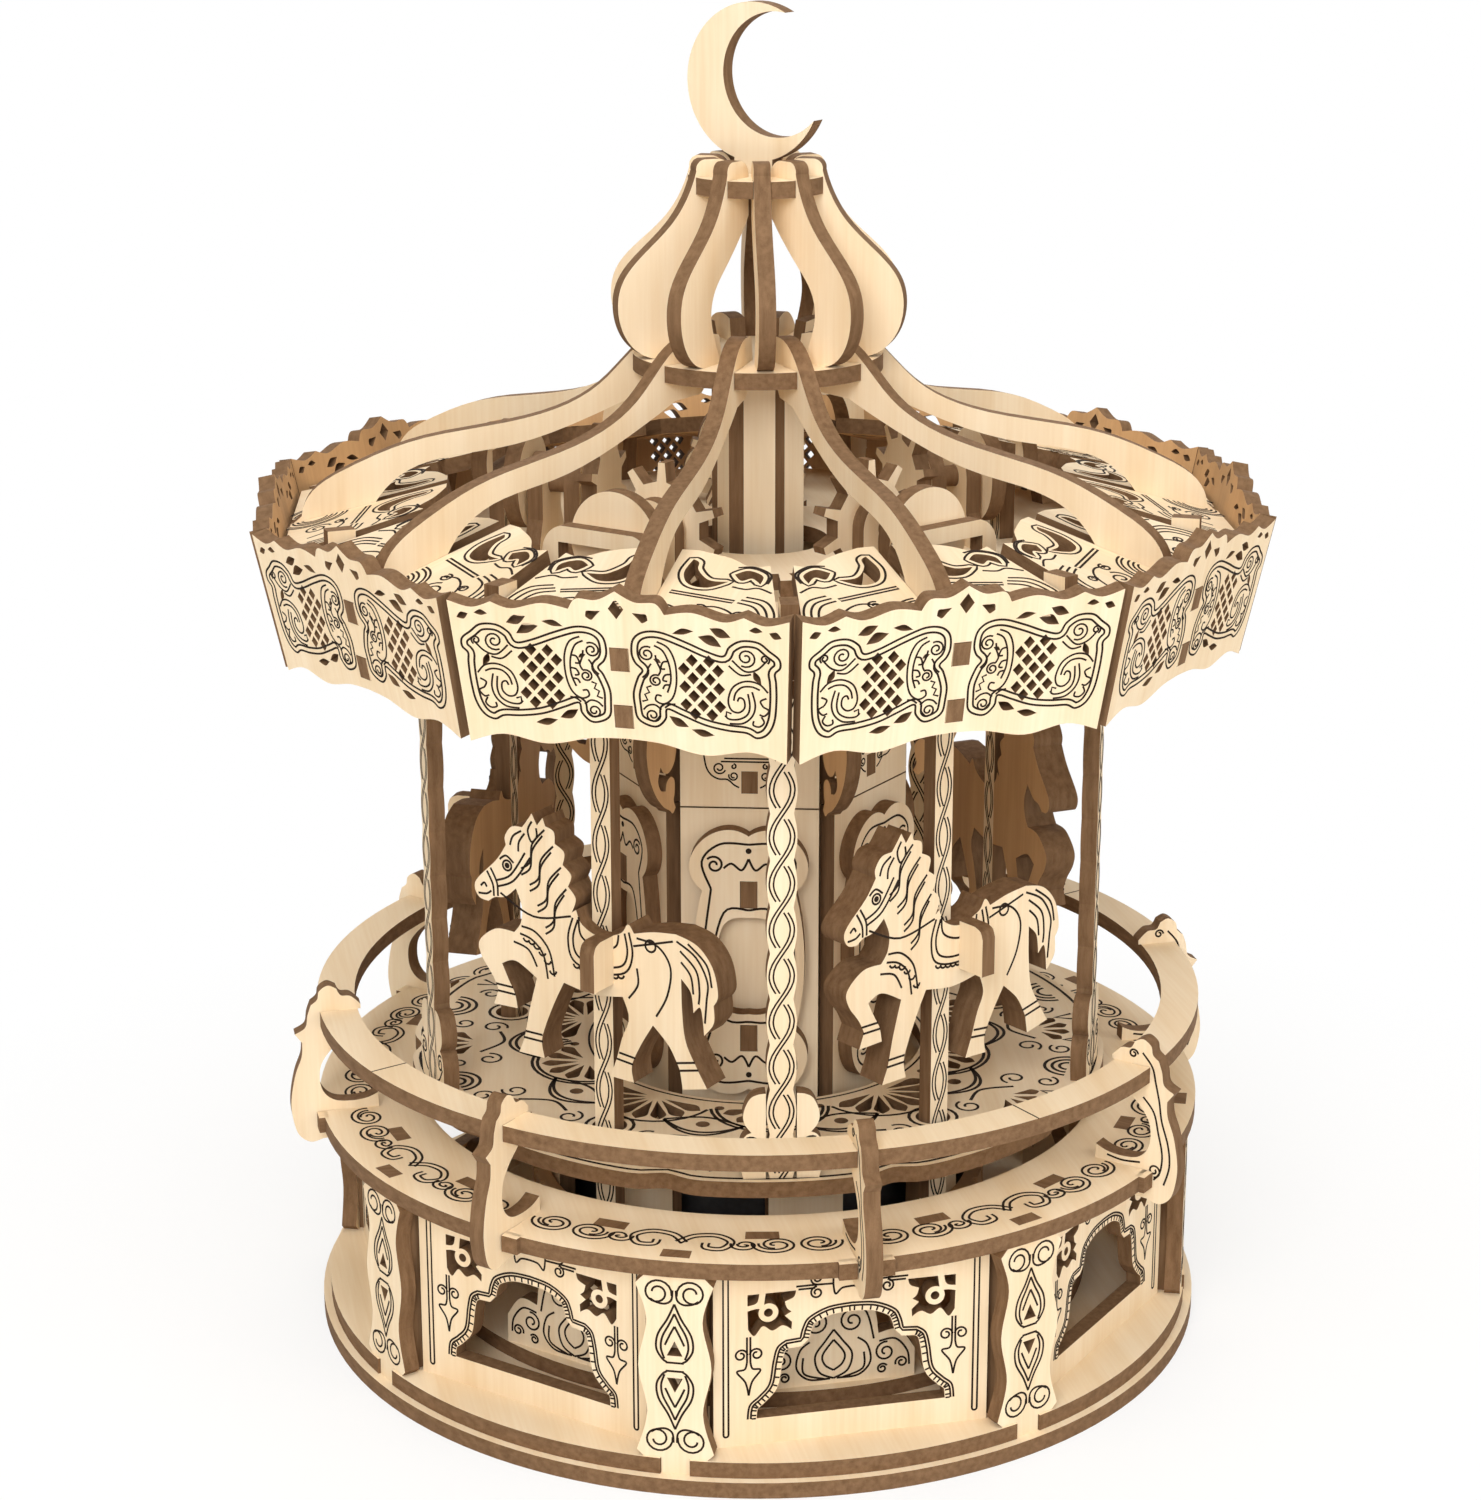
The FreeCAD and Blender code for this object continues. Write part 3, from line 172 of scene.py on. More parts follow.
class Design:
    """Closed solids in the coordinates of one plate: x and y in its plane, z through its thickness."""

    def __init__(self):
        self.points = []
        self.faces = []
        self.slots = []

    def plate(self, outer, holes=(), low=0.0, high=PLY, face=FACE, side=EDGE, back=None):
        """Plate with holes through it. Its back has the slot of its face unless another one is given."""
        loops = [list(outer) if area(outer) > 0 else list(outer)[::-1]]
        loops += [list(hole) if area(hole) < 0 else list(hole)[::-1] for hole in holes]
        flat = [spot for loop in loops for spot in loop]
        start = len(self.points)
        count = len(flat)
        self.points += [(x, y, high) for x, y in flat] + [(x, y, low) for x, y in flat]
        for a, b, c in tessellate_polygon([[Vector((x, y, 0)) for x, y in loop] for loop in loops]):
            (ax, ay), (bx, by), (cx, cy) = flat[a], flat[b], flat[c]
            if (bx - ax) * (cy - ay) - (cx - ax) * (by - ay) < 0:
                b, c = c, b
            self.faces += [(start + a, start + b, start + c), (start + count + a, start + count + c, start + count + b)]
            self.slots += [face, face if back is None else back]
        first = start
        for loop in loops:
            size = len(loop)
            for index in range(size):
                after = (index + 1) % size
                self.faces.append((first + count + index, first + count + after, first + after, first + index))
                self.slots.append(side)
            first += size
        return self

    def line(self, path, width=PEN, at=PLY, closed=False, up=1):
        """Engraved line on the surface at this height. Up is -1 on the back of a plate."""
        start = len(self.points)
        high, low = at + up * PROUD, at - up * SUNK
        for (x, y), (nx, ny) in zip(path, sideways(path, closed)):
            dx, dy = nx * width / 2 * up, ny * width / 2 * up
            self.points += [(x + dx, y + dy, high), (x - dx, y - dy, high),
                            (x - dx, y - dy, low), (x + dx, y + dy, low)]
        count = len(path)
        for index in range(count if closed else count - 1):
            here = start + 4 * index
            there = start + 4 * ((index + 1) % count)
            for k in range(4):
                self.faces.append((here + k, here + (k + 1) % 4, there + (k + 1) % 4, there + k))
        if not closed:
            end = start + 4 * (count - 1)
            self.faces += [(start + 3, start + 2, start + 1, start), (end, end + 1, end + 2, end + 3)]
        self.slots += [LINE] * (len(self.faces) - len(self.slots))
        return self

    def lines(self, paths, **kind):
        for path in paths:
            self.line(path, **kind)
        return self

    def patch(self, outer, slot=LINE, at=PLY, up=1):
        """Thin patch on the surface, such as the end of a tenon or a scorched spot."""
        ends = sorted((at - up * SUNK, at + up * PROUD))
        return self.plate(outer, low=ends[0], high=ends[1], face=slot, side=slot)


def flipped_design(design):
    """The same design with left and right exchanged."""
    made = Design()
    made.points = [(-x, y, z) for x, y, z in design.points]
    made.faces = [tuple(reversed(face)) for face in design.faces]
    made.slots = list(design.slots)
    return made


def turned(angle):
    return Matrix.Rotation(math.radians(angle), 4, "Z")


def facing(inner, height, angle, lean=0.0):
    """Place of a plate that faces outwards: its x to the right, its y up, its thickness outwards."""
    tilt = Matrix.Rotation(math.radians(90 + lean), 4, "X")
    return turned(angle) @ Matrix.Translation((0, -inner, height)) @ tilt


def radial(angle, height=0.0):
    """Place of a plate in a plane through the axis: its x outwards, its y up."""
    stand = Matrix.Rotation(math.radians(-90), 4, "Z") @ Matrix.Rotation(math.radians(90), 4, "X")
    return turned(angle) @ Matrix.Translation((0, 0, height)) @ stand @ Matrix.Translation((0, 0, -PLY / 2))


def level(height, angle=0.0):
    """Place of a plate that lies level: its thickness upwards."""
    return turned(angle) @ Matrix.Translation((0, 0, height))


def ring(count, first):
    """Angles that are evenly spaced about the axis."""
    return [first + 360.0 / count * index for index in range(count)]


def facings(count, first, inner, height, lean=0.0):
    return [facing(inner, height, angle, lean) for angle in ring(count, first)]


# Materials


def node_material(name):
    made = bpy.data.materials.new(name)
    made.use_nodes = True
    return made, made.node_tree, made.node_tree.nodes["Principled BSDF"]


def fill(tree, node, sockets):
    """Set sockets of a shader node, by name or number, to values or link them to outputs."""
    for socket, value in sockets.items():
        if isinstance(value, bpy.types.NodeSocket):
            tree.links.new(value, node.inputs[socket])
        else:
            node.inputs[socket].default_value = value


def add_node(tree, kind, sockets=None, operation=None):
    made = tree.nodes.new("ShaderNode" + kind)
    if operation:
        made.operation = operation
    fill(tree, made, sockets or {})
    return made


def colour_ramp(tree, factor, low, dark, high, pale):
    made = add_node(tree, "ValToRGB", {"Fac": factor})
    for element, position, colour in zip(made.color_ramp.elements, (low, high), (dark, pale)):
        element.position = position
        element.color = colour + (1.0,)
    return made.outputs["Color"]


def wood(name, pale, dark, stretch, roughness, depth):
    """Plywood whose grain follows the plate: fine streaks over broad, soft bands."""
    made, tree, shader = node_material(name)
    grain = add_node(tree, "Attribute")
    grain.attribute_name = "grain"

    def drawn_out(across, along, detail):
        """Noise that is drawn out along the grain."""
        scale = (stretch * across, stretch * along, stretch * across)
        mapping = add_node(tree, "Mapping", {"Vector": grain.outputs["Vector"], "Scale": scale})
        noise = add_node(tree, "TexNoise", {"Vector": mapping.outputs["Vector"], "Scale": 1.0, "Detail": detail})
        return noise.outputs["Fac"]

    bands = drawn_out(0.16, 0.012, 3.0)
    streaks = drawn_out(1.6, 0.06, 2.0)
    mix = add_node(tree, "Math", {0: streaks, 1: 0.45, 2: bands}, "MULTIPLY_ADD")
    bump = add_node(tree, "Bump", {"Strength": depth, "Distance": 0.0001, "Height": streaks})
    fill(tree, shader, {"Base Color": colour_ramp(tree, mix.outputs["Value"], 0.45, dark, 0.95, pale),
                        "Normal": bump.outputs["Normal"], "Roughness": roughness, "Specular IOR Level": 0.2})
    return made


def speckled(name, one, two, scale, roughness, metallic=0.0):
    """Even material with a faint mottle, for metal and plastic."""
    made, tree, shader = node_material(name)
    place = add_node(tree, "TexCoord")
    noise = add_node(tree, "TexNoise", {"Vector": place.outputs["Object"], "Scale": scale, "Detail": 4.0})
    fill(tree, shader, {"Base Color": colour_ramp(tree, noise.outputs["Fac"], 0.35, one, 0.65, two),
                        "Roughness": roughness, "Metallic": metallic})
    return made


BIRCH = wood("birch_face", (0.89, 0.745, 0.545), (0.80, 0.615, 0.395), 1.0, 0.6, 0.05)
BURNT = wood("burnt_edge", (0.232, 0.134, 0.069), (0.135, 0.073, 0.034), 6.0, 0.8, 0.2)
# Painted shade: this darker, warmer copy of the birch stands for the shade on back faces and on shaded parts.
SHADE_PAINTED_BIRCH = wood("birch_painted_shade", (0.60, 0.37, 0.185), (0.47, 0.275, 0.13), 1.0, 0.65, 0.05)
SCORCH = wood("scorched_line", (0.030, 0.018, 0.011), (0.014, 0.008, 0.005), 3.0, 0.9, 0.0)
PLASTIC = speckled("black_plastic", (0.012, 0.012, 0.013), (0.022, 0.022, 0.024), 900.0, 0.45)
BRASS = speckled("brass", (0.60, 0.43, 0.17), (0.68, 0.50, 0.22), 600.0, 0.3, 1.0)
STEEL = speckled("steel", (0.50, 0.50, 0.52), (0.60, 0.60, 0.62), 700.0, 0.32, 1.0)


# Pieces

ONE_SIDE = (0.31, 0.47, 0.83)      # tells the two directions of a normal apart
SHEET = 900                        # size of the sheet that the grain of each plate is taken from, at random


def grain_shift():
    return [random.uniform(0, SHEET) for axis in range(3)]


class Piece:
    """One mesh, made of copies of CAD nodes and of designs, that rides on a body."""

    def __init__(self, name, body, nodes):
        self.name = name
        self.body = body
        self.nodes = nodes
        self.points = []
        self.faces = []
        self.slots = []
        self.grain = []

    def stamp(self, design, places):
        """Add a copy of a design at each place, each with its own stretch of grain."""
        for place in places:
            start = len(self.points)
            shift = grain_shift()
            self.points += [place @ Vector(spot) for spot in design.points]
            self.grain += [(x + shift[0], y + shift[1], z + shift[2]) for x, y, z in design.points]
            self.faces += [[start + corner for corner in face] for face in design.faces]
            self.slots += design.slots
        return self

    def dress(self, node, slot=None):
        """Copy a CAD node, in one slot or with the plates' broad faces pale and their cut edges burnt."""
        mesh = bmesh.new()
        mesh.from_mesh(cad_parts[node].data)
        bmesh.ops.remove_doubles(mesh, verts=mesh.verts, dist=1e-6)
        mesh.faces.ensure_lookup_table()
        seen = set()
        for seed in mesh.faces:
            if seed.index in seen:
                continue
            seen.add(seed.index)
            solid = [seed]
            for face in solid:
                for edge in face.edges:
                    for other in edge.link_faces:
                        if other.index not in seen:
                            seen.add(other.index)
                            solid.append(other)
            self.dress_solid(solid, slot)
        mesh.free()
        return self

    def dress_solid(self, solid, slot):
        """Copy one solid. The direction in which most of its area faces is taken as the plate's thickness."""
        weights = {}
        for face in solid:
            normal = face.normal if face.normal.dot(ONE_SIDE) > 0 else -face.normal
            key = tuple(round(part, 1) for part in normal)
            total = weights.setdefault(key, [0.0, Vector((0, 0, 0))])
            total[0] += face.calc_area()
            total[1] += normal * face.calc_area()
        broad = max(weights.values(), key=lambda total: total[0])[1].normalized()
        upright = Vector((0, 0, 1)) if abs(broad.z) < 0.7 else Vector((0, 1, 0))
        across = upright.cross(broad).normalized()
        along = broad.cross(across)
        shift = grain_shift()
        places = {}
        for face in solid:
            corners = []
            for vertex in face.verts:
                if vertex.index not in places:
                    places[vertex.index] = len(self.points)
                    spot = vertex.co / MM
                    self.points.append(spot)
                    self.grain.append((spot.dot(across) + shift[0], spot.dot(along) + shift[1],
                                       spot.dot(broad) + shift[2]))
                corners.append(places[vertex.index])
            self.faces.append(corners)
            flat = abs(face.normal.dot(broad)) > 0.98
            self.slots.append(slot if slot is not None else FACE if flat else EDGE)

    def make(self):
        mesh = bpy.data.meshes.new(self.name)
        mesh.from_pydata([tuple(Vector(spot) * MM) for spot in self.points], [], self.faces)
        for material in (BIRCH, BURNT, SCORCH, SHADE_PAINTED_BIRCH):
            mesh.materials.append(material)
        mesh.polygons.foreach_set("material_index", self.slots)
        grain = mesh.attributes.new("grain", "FLOAT_VECTOR", "POINT")
        grain.data.foreach_set("vector", [part for spot in self.grain for part in spot])
        mesh.update()
        made = bpy.data.objects.new(self.name, mesh)
        bpy.context.scene.collection.objects.link(made)
        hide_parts(*self.nodes)
        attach(made, self.body)
        return made


def dressed(node, body, slot=None):
    return Piece(node + "_cut", body, [node]).dress(node, slot)


def cut(node, body, designs, places):
    """Replace a CAD node by designs, each at all the places."""
    made = Piece(node + "_cut", body, [node])
    for design in designs:
        made.stamp(design, places)
    made.make()


# Base

BASE_SIDES = 8
HALF_SIDE = 22.5       # angle from the middle of a side to a corner
FLOOR_Z = 6.0
WALL_FACE = 75.0
WALL_HALF = 24.66
WALL_HEIGHT = 35.0
PILASTER_FACE = 83.0
PLAQUE_FACE = 62.0
DECK_Z = 41.0

for node in ("base_disc_lower", "base_disc_upper", "pilaster_backs", "plaque_ring", "drum_pillars", "core_plate"):
    dressed(node, "base").make()
# Painted shade: the drum is pale wood in shade, and takes the darker copy of the birch.
dressed("slatted_drum", "base", PAINTED_SHADE_SLOT).make()


def wall_design():
    """Wall with a stepped arch in a hatched border, pierced corners and hanging ornaments."""
    right = shape((18.6, 5.0), [(18.2, 7.6), (16.5, 9.2), (14.7, 11.4), (14.0, 15.6), (13.3, 18.2), (11.8, 19.4)],
                  [(9.2, 19.6)], [(8.7, 21.6), (7.6, 23.4), (4.2, 25.0), (0.0, 25.4)])

    def within(distance):
        return [(x + nx * distance, max(5.0, y + ny * distance))
                for (x, y), (nx, ny) in zip(right, sideways(right, False))]

    opening = within(1.6)
    ring_x, ring_y = 14.9, 25.1
    round_ring = arc(ring_x, ring_y, 1.75, 28, -296, 30)
    pierced = [
        shape((18.6, 28.8), [(16.5, 28.8)], [(16.8, 27.4), (17.4, 26.9), (18.6, 26.7)]),
        shape((15.4, 28.8), [(10.0, 28.8)], [(10.4, 27.6), (12.0, 26.9)], [(11.6, 25.6), (10.8, 24.9)],
              [(12.0, 24.2)], [(10.7, 22.9)], [(10.8, 21.5)],
              [(12.4, 22.4), (14.2, 21.6), (15.9, 22.6), (17.4, 20.9), (18.5, 22.2)], [(18.6, 25.7)],
              [(17.4, 26.0), (16.6, 26.0)], round_ring[:1], round_ring[1:], [(15.67, 26.67)], [(15.4, 28.8)]),
        circle(ring_x, ring_y, 0.8, 16),
    ]
    outer = box(-WALL_HALF, 0, WALL_HALF, WALL_HEIGHT)
    # The back of the wall takes the painted shade, a darker copy of the birch.
    plate = Design().plate(outer, [opening + flip(opening)[::-1][1:]] + both(pierced), back=PAINTED_SHADE_SLOT)
    plate.lines(both([right, within(0.55)]), width=0.36)
    plate.lines(both([list(ends) for ends in zip(within(0.7), within(1.5))][::2]), width=0.3)
    plate.lines(both([
        [(22.9, 2.4), (22.9, 33.2), (0.0, 33.2)],
        [(22.0, 2.4), (22.0, 32.3), (0.0, 32.3)],
        arc(22.45, 2.4, 0.45, 180, 360, 6),
        curve([(18.4, 9.6), (17.8, 12.2), (16.3, 14.3), (17.7, 14.7), (18.1, 16.0)]),
        curve([(18.4, 9.6), (19.0, 12.2), (20.5, 14.3), (19.1, 14.7), (18.7, 16.0)]),
        [(18.1, 16.0), (18.1, 20.8)],
        [(18.7, 16.0), (18.7, 20.8)],
        spiral(17.0, 17.4, 1.2, 0.4, 0, 1.3),
        spiral(19.8, 17.4, 1.2, 0.4, 180, -1.3),
        [(10.0, 29.5), (6.6, 29.5), (3.4, 29.4)],
        [(9.6, 28.9), (6.6, 28.9)],
        spiral(6.3, 30.7, 1.2, 0.35, 270, 1.4),
        spiral(6.3, 28.0, 1.2, 0.35, 90, -1.4),
        curve([(3.4, 29.4), (3.2, 31.2), (2.0, 30.2), (0.0, 29.9)]),
        curve([(3.4, 29.4), (3.0, 27.4), (1.8, 28.4), (0.0, 28.6)]),
    ]), width=0.36)
    return plate


cut("wall_panels", "base", [wall_design()], facings(BASE_SIDES, 0.0, WALL_FACE - PLY, FLOOR_Z))


def pilaster_design():
    """Waisted strip with scrolls at both ends and two long drops, each with a pierced triangle."""
    right = shape((2.5, -3.0), [(2.5, 0.0)], [(5.6, 0.0)], [(6.8, 1.2)],
                  [(4.9, 8.75), (6.4, 17.5), (4.9, 26.25), (6.8, 33.0)], [(4.8, 35.0)])
    pierced = [[(0.0, 22.4), (-1.4, 19.6), (1.4, 19.6)], [(0.0, 12.6), (-1.4, 15.4), (1.4, 15.4)]]
    plate = Design().plate(right + flip(right)[::-1], pierced)
    upper = [
        spiral(3.0, 31.4, 2.6, 0.9, 190, -1.5),
        curve([(0.3, 32.0), (0.5, 30.2), (1.6, 29.4), (3.2, 29.6), (4.2, 30.2)]),
        curve([(0.0, 29.4), (1.2, 26.6), (2.9, 23.6), (3.2, 20.9), (2.2, 19.0), (1.4, 18.4)]),
        curve([(0.0, 27.6), (0.9, 25.6), (2.1, 23.2), (2.4, 21.0), (1.8, 19.0)]),
        curve([(0.0, 25.2), (0.8, 23.6), (1.7, 21.6)]),
        [(0.0, 18.3), (1.6, 18.3)],
    ]
    lower = [[(x, 35.0 - y) for x, y in line] for line in upper]
    return plate.lines(both(upper + lower), width=0.38)


cut("pilasters", "base", [pilaster_design()], facings(BASE_SIDES, HALF_SIDE, PILASTER_FACE - PLY, FLOOR_Z))


def plaque_design():
    """Stepped plaque with a tulip between scrolls."""
    right = shape((15.0, 0.0), [(15.0, 5.4)], [(12.0, 9.36), (8.25, 9.0)], [(6.75, 15.3), (0.0, 18.0)])
    plate = Design().plate(right + flip(right)[::-1][1:])
    lines = [
        curve([(14.0, 2.2), (13.6, 5.0), (11.4, 7.6), (8.4, 7.4)]),
        spiral(9.6, 5.2, 2.0, 0.4, 80, 1.5),
        spiral(12.6, 2.8, 1.2, 0.3, 200, -1.4),
        spiral(9.0, 1.9, 1.0, 0.3, 30, 1.4),
        curve([(7.4, 8.0), (6.0, 13.4), (3.0, 15.8), (0.0, 16.8)]),
        spiral(3.4, 12.0, 2.3, 0.4, 100, 1.5),
        curve([(0.0, 1.0), (2.6, 2.4), (3.4, 5.6), (1.6, 8.4), (0.0, 10.6)]),
        curve([(0.0, 2.6), (1.6, 3.8), (2.0, 5.8), (0.0, 8.6)]),
        curve([(0.6, 1.0), (4.6, 1.2), (6.8, 3.6), (6.2, 7.0), (4.4, 8.6)]),
        curve([(1.6, 1.0), (5.4, 2.4), (5.6, 5.6)]),
    ]
    return plate.lines(both(lines), width=0.38)


cut("window_plaques", "base", [plaque_design()], facings(BASE_SIDES, 0.0, PLAQUE_FACE - PLY, FLOOR_Z + PLY))


RAIL_Z = 61.0
RAIL_R = 84.0
RAIL_INNER_R = 77.0
RAIL_SEGMENTS = 4

rail_seam = Design().line([(0.0, -RAIL_INNER_R), (0.0, -RAIL_R)], width=0.25)
dressed("rail_segments", "base").stamp(
    rail_seam, [level(RAIL_Z, angle) for angle in ring(RAIL_SEGMENTS, HALF_SIDE)]).make()


def bracket_design():
    """Plate that carries the rail: a crest over it, a spur below it, a deep notch and a tongue on the deck."""
    plate = Design().plate(shape(
        (79.06, 38.8), [(84.2, 38.4)],
        [(86.6, 37.9), (88.8, 39.6), (89.8, 43.2), (89.9, 46.8), (89.0, 51.6), (87.7, 55.2), (87.5, 58.0)],
        [(88.8, 59.8)], [(86.8, 61.0), (86.3, 63.4), (85.6, 65.4)],
        [(84.4, 66.4), (84.0, 68.0), (82.4, 69.0), (80.8, 68.3)], [(80.0, 66.9), (78.2, 66.6), (76.4, 64.9)],
        [(76.4, 64.0)], [(80.56, 64.0)], [(80.56, 61.0)], [(78.4, 61.0)],
        [(79.4, 58.8), (82.0, 56.4), (84.0, 53.6), (84.5, 50.6), (83.9, 47.9), (82.0, 46.1), (79.0, 45.6),
         (75.9, 45.9), (73.7, 46.8)], [(73.6, 44.0)], [(79.06, 44.0)]))
    return plate.lines([
        curve([(82.4, 66.4), (84.4, 64.0), (85.2, 61.0), (86.0, 57.6), (86.6, 54.0), (88.0, 49.6), (88.4, 45.6),
               (87.4, 41.8)]),
        curve([(82.8, 58.0), (85.0, 55.4), (86.0, 51.6), (86.9, 47.6), (86.6, 44.2), (85.4, 42.4)]),
        spiral(85.4, 44.2, 1.3, 0.3, 270, 1.4),
        spiral(80.6, 65.9, 0.9, 0.25, 0, 1.3),
        curve([(76.0, 45.2), (79.0, 44.8), (82.6, 45.2)]),
    ], width=0.36)


cut("rail_brackets", "base", [bracket_design()], [radial(angle) for angle in ring(BASE_SIDES, 0.0)])


def deck_design():
    """Vine of double lines over an eighth of the deck, tenon ends that come up through it, and bosses at its rim."""
    deck = Design()

    def on_deck(points):
        return [polar(radius, along) for along, radius in points]

    def curl(along, radius, reach, start, turns):
        """Spiral in degrees along the deck and millimetres from its axis."""
        return [(along + 0.75 * x, radius + 0.8 * y)
                for x, y in spiral(0.0, 0.0, reach, 0.28 * reach, start, turns, 32)]

    for side in (-1, 1):
        vine = [
            curve([(-0.4, 76.8), (1.4, 74.0), (4.4, 73.4), (6.4, 75.6), (5.4, 78.4), (3.4, 78.2), (3.2, 76.4)]),
            curl(8.2, 76.8, 1.9, 200, -1.0),
            curl(12.2, 76.6, 3.6, 190, -1.25),
            curl(17.8, 76.4, 3.6, -10, 1.25),
        ]
        for line in vine:
            deck.lines(band(on_deck([(HALF_SIDE + side * along, radius) for along, radius in line]), 1.15), width=0.46)
        deck.patch(on_deck(box(side * 12 - 2.3, 71.6, side * 12 + 2.3, 74.4)), EDGE)
        deck.plate(on_deck([(side * 1.15, 83.4), (side * 1.15, 85.3), (side * 3.3, 85.3), (side * 3.3, 83.4)]))
    deck.patch(on_deck(box(20.7, 79.8, 24.3, 82.6)), EDGE)
    return deck


dressed("deck_ring", "base").stamp(deck_design(), [level(DECK_Z, angle) for angle in ring(BASE_SIDES, 0.0)]).make()


# Fixed column in the middle

COLUMN_SIDES = 6
COLUMN_TURN = -16.0
HALF_HEX_SIDE = 30.0   # angle from the middle of a hexagon's side to its corner
COLUMN_FACE = 25.0
COLUMN_HEIGHT = 61.5
DECK_TOP = DECK_Z + PLY

COLUMN_CORNERS = ring(COLUMN_SIDES, COLUMN_TURN + HALF_HEX_SIDE)
CAP_Z = DECK_TOP + COLUMN_HEIGHT
CAP_FLAT = 21.9
CAP_HOLE_R = 13.0
CAPITAL_TALL = 30.0
CAPITAL_HALF = 12.6
CORNER_R = 29.0        # inner edge of the scroll brackets, at the corners of the column
SCROLL_DROP = 2.4      # place of their drawing below the top of the column

for node in ("column_panels", "column_ribs", "sun_gear"):
    dressed(node, "base").make()

cap_corners = [polar(CAP_FLAT / math.cos(math.radians(HALF_HEX_SIDE)), angle) for angle in COLUMN_CORNERS]
cut("column_cap", "base", [Design().plate(cap_corners, [circle(0, 0, CAP_HOLE_R)])], [level(CAP_Z)])


def capital_design():
    """Casing on a side of the capital, with a tenon end between scrolls."""
    plate = Design().plate(box(-CAPITAL_HALF, 0.3, CAPITAL_HALF, CAPITAL_TALL))
    plate.patch(box(-1.5, 2.9, 1.5, 7.1), EDGE)
    return plate.lines(both([
        curve([(8.4, 11.0), (7.9, 8.0), (7.0, 6.4), (5.6, 5.6), (4.0, 5.5), (2.8, 4.5), (1.9, 4.0)]),
        spiral(5.5, 7.7, 1.2, 0.35, 200, 1.4),
        spiral(2.9, 6.2, 0.9, 0.3, 20, -1.4),
        [(5.2, 8.9), (0.0, 8.9)],
        [(4.6, 9.5), (0.0, 9.5)],
        spiral(2.9, 8.0, 0.5, 0.2, 90, 1.0),
    ]), width=0.3)


dressed("capital_panels", "base").stamp(
    capital_design(), facings(COLUMN_SIDES, COLUMN_TURN, COLUMN_FACE - PLY, CAP_Z)).make()


def scroll_design():
    """Bracket at a corner of the capital: two hooks round an opening, on a round foot."""
    made = shape(
        (0.3, 2.8),
        [(1.2, 1.9), (2.2, 2.7), (4.2, 4.0), (6.6, 6.8), (8.4, 10.6), (9.2, 15.0), (8.8, 20.0), (10.2, 26.0),
         (8.4, 29.6), (4.4, 29.4)], [(0.0, 27.0)], [(0.0, 13.4)], [(0.8, 11.2), (2.4, 9.9), (4.0, 10.3), (4.9, 11.6)],
        [(5.7, 9.2), (4.9, 7.2), (3.4, 6.7)], [(3.0, 8.2), (1.8, 9.0), (0.6, 8.0), (0.6, 5.6), (0.9, 4.3), (0.3, 2.8)])
    # Painted shade: the scrolls stand under the canopy and take the darker copy of the birch on both faces.
    return Design().plate([(CORNER_R + x, y) for x, y in made], face=PAINTED_SHADE_SLOT)


cut("capital_scrolls", "base", [scroll_design()], [radial(angle, CAP_Z - SCROLL_DROP) for angle in COLUMN_CORNERS])


def frame_lines():
    """Lines and dots on one of the lobed frames."""
    wide = 10.4
    tall = COLUMN_HEIGHT

    def scaled(points):
        return curve([(wide * x, tall * y) for x, y in points])

    lines = [
        scaled([(0.0, 0.905), (0.5, 0.905), (0.82, 0.85), (0.66, 0.765)]),
        scaled([(0.0, 0.155), (0.52, 0.15), (0.84, 0.2), (0.68, 0.31)]),
        scaled([(0.66, 0.765), (0.8, 0.54), (0.68, 0.31)]),
        scaled([(0.0, 0.70), (0.44, 0.69), (0.64, 0.52), (0.44, 0.36), (0.0, 0.345)]),
        spiral(wide * 0.6, tall * 0.84, 1.7, 0.4, 40, 1.4),
        spiral(wide * 0.6, tall * 0.22, 1.7, 0.4, 320, -1.4),
        scaled([(0.0, 0.86), (0.12, 0.825), (0.3, 0.845), (0.44, 0.83)]),
        scaled([(0.0, 0.2), (0.12, 0.235), (0.3, 0.215), (0.44, 0.23)]),
    ]
    made = Design().lines(both(lines))
    for height in (0.885, 0.175):
        made.patch(circle(0, tall * height, 0.55, 12))
    return made


dressed("column_frames", "base").stamp(
    frame_lines(), facings(COLUMN_SIDES, COLUMN_TURN, COLUMN_FACE, DECK_TOP)).make()


# Turning part

CAROUSEL_TURN = -9.0
HORSES = 5
HALF_STEP = 36.0       # angle from a twisted column to the next horse
HORSE_TURN = CAROUSEL_TURN + HALF_STEP
ROOF_SIDES = 10
RIB_TURN = 9.0
PLATFORM_Z = 48.0
PLATFORM_TOP = PLATFORM_Z + PLY
PLATFORM_R = 66.5
PLATFORM_HOLE_R = 31.5
POLE_AT = 50.0
POST_SIDES = 6
POST_FLAT = 7.36
POST_Z = 50.0
POST_TALL = 130.0

for node in ("canopy_floor", "corner_ties", "roof_ribs", "lower_collar", "dome_ribs", "top_collar",
             "crescent", "crank_bearings"):
    dressed(node, "carousel").make()
post_strip = Design().patch(box(-4.2, 0.0, -1.5, POST_TALL), EDGE, 0.0)
dressed("centre_post", "carousel", FACE).stamp(
    post_strip, facings(POST_SIDES, RIB_TURN + HALF_HEX_SIDE, POST_FLAT, POST_Z)).make()


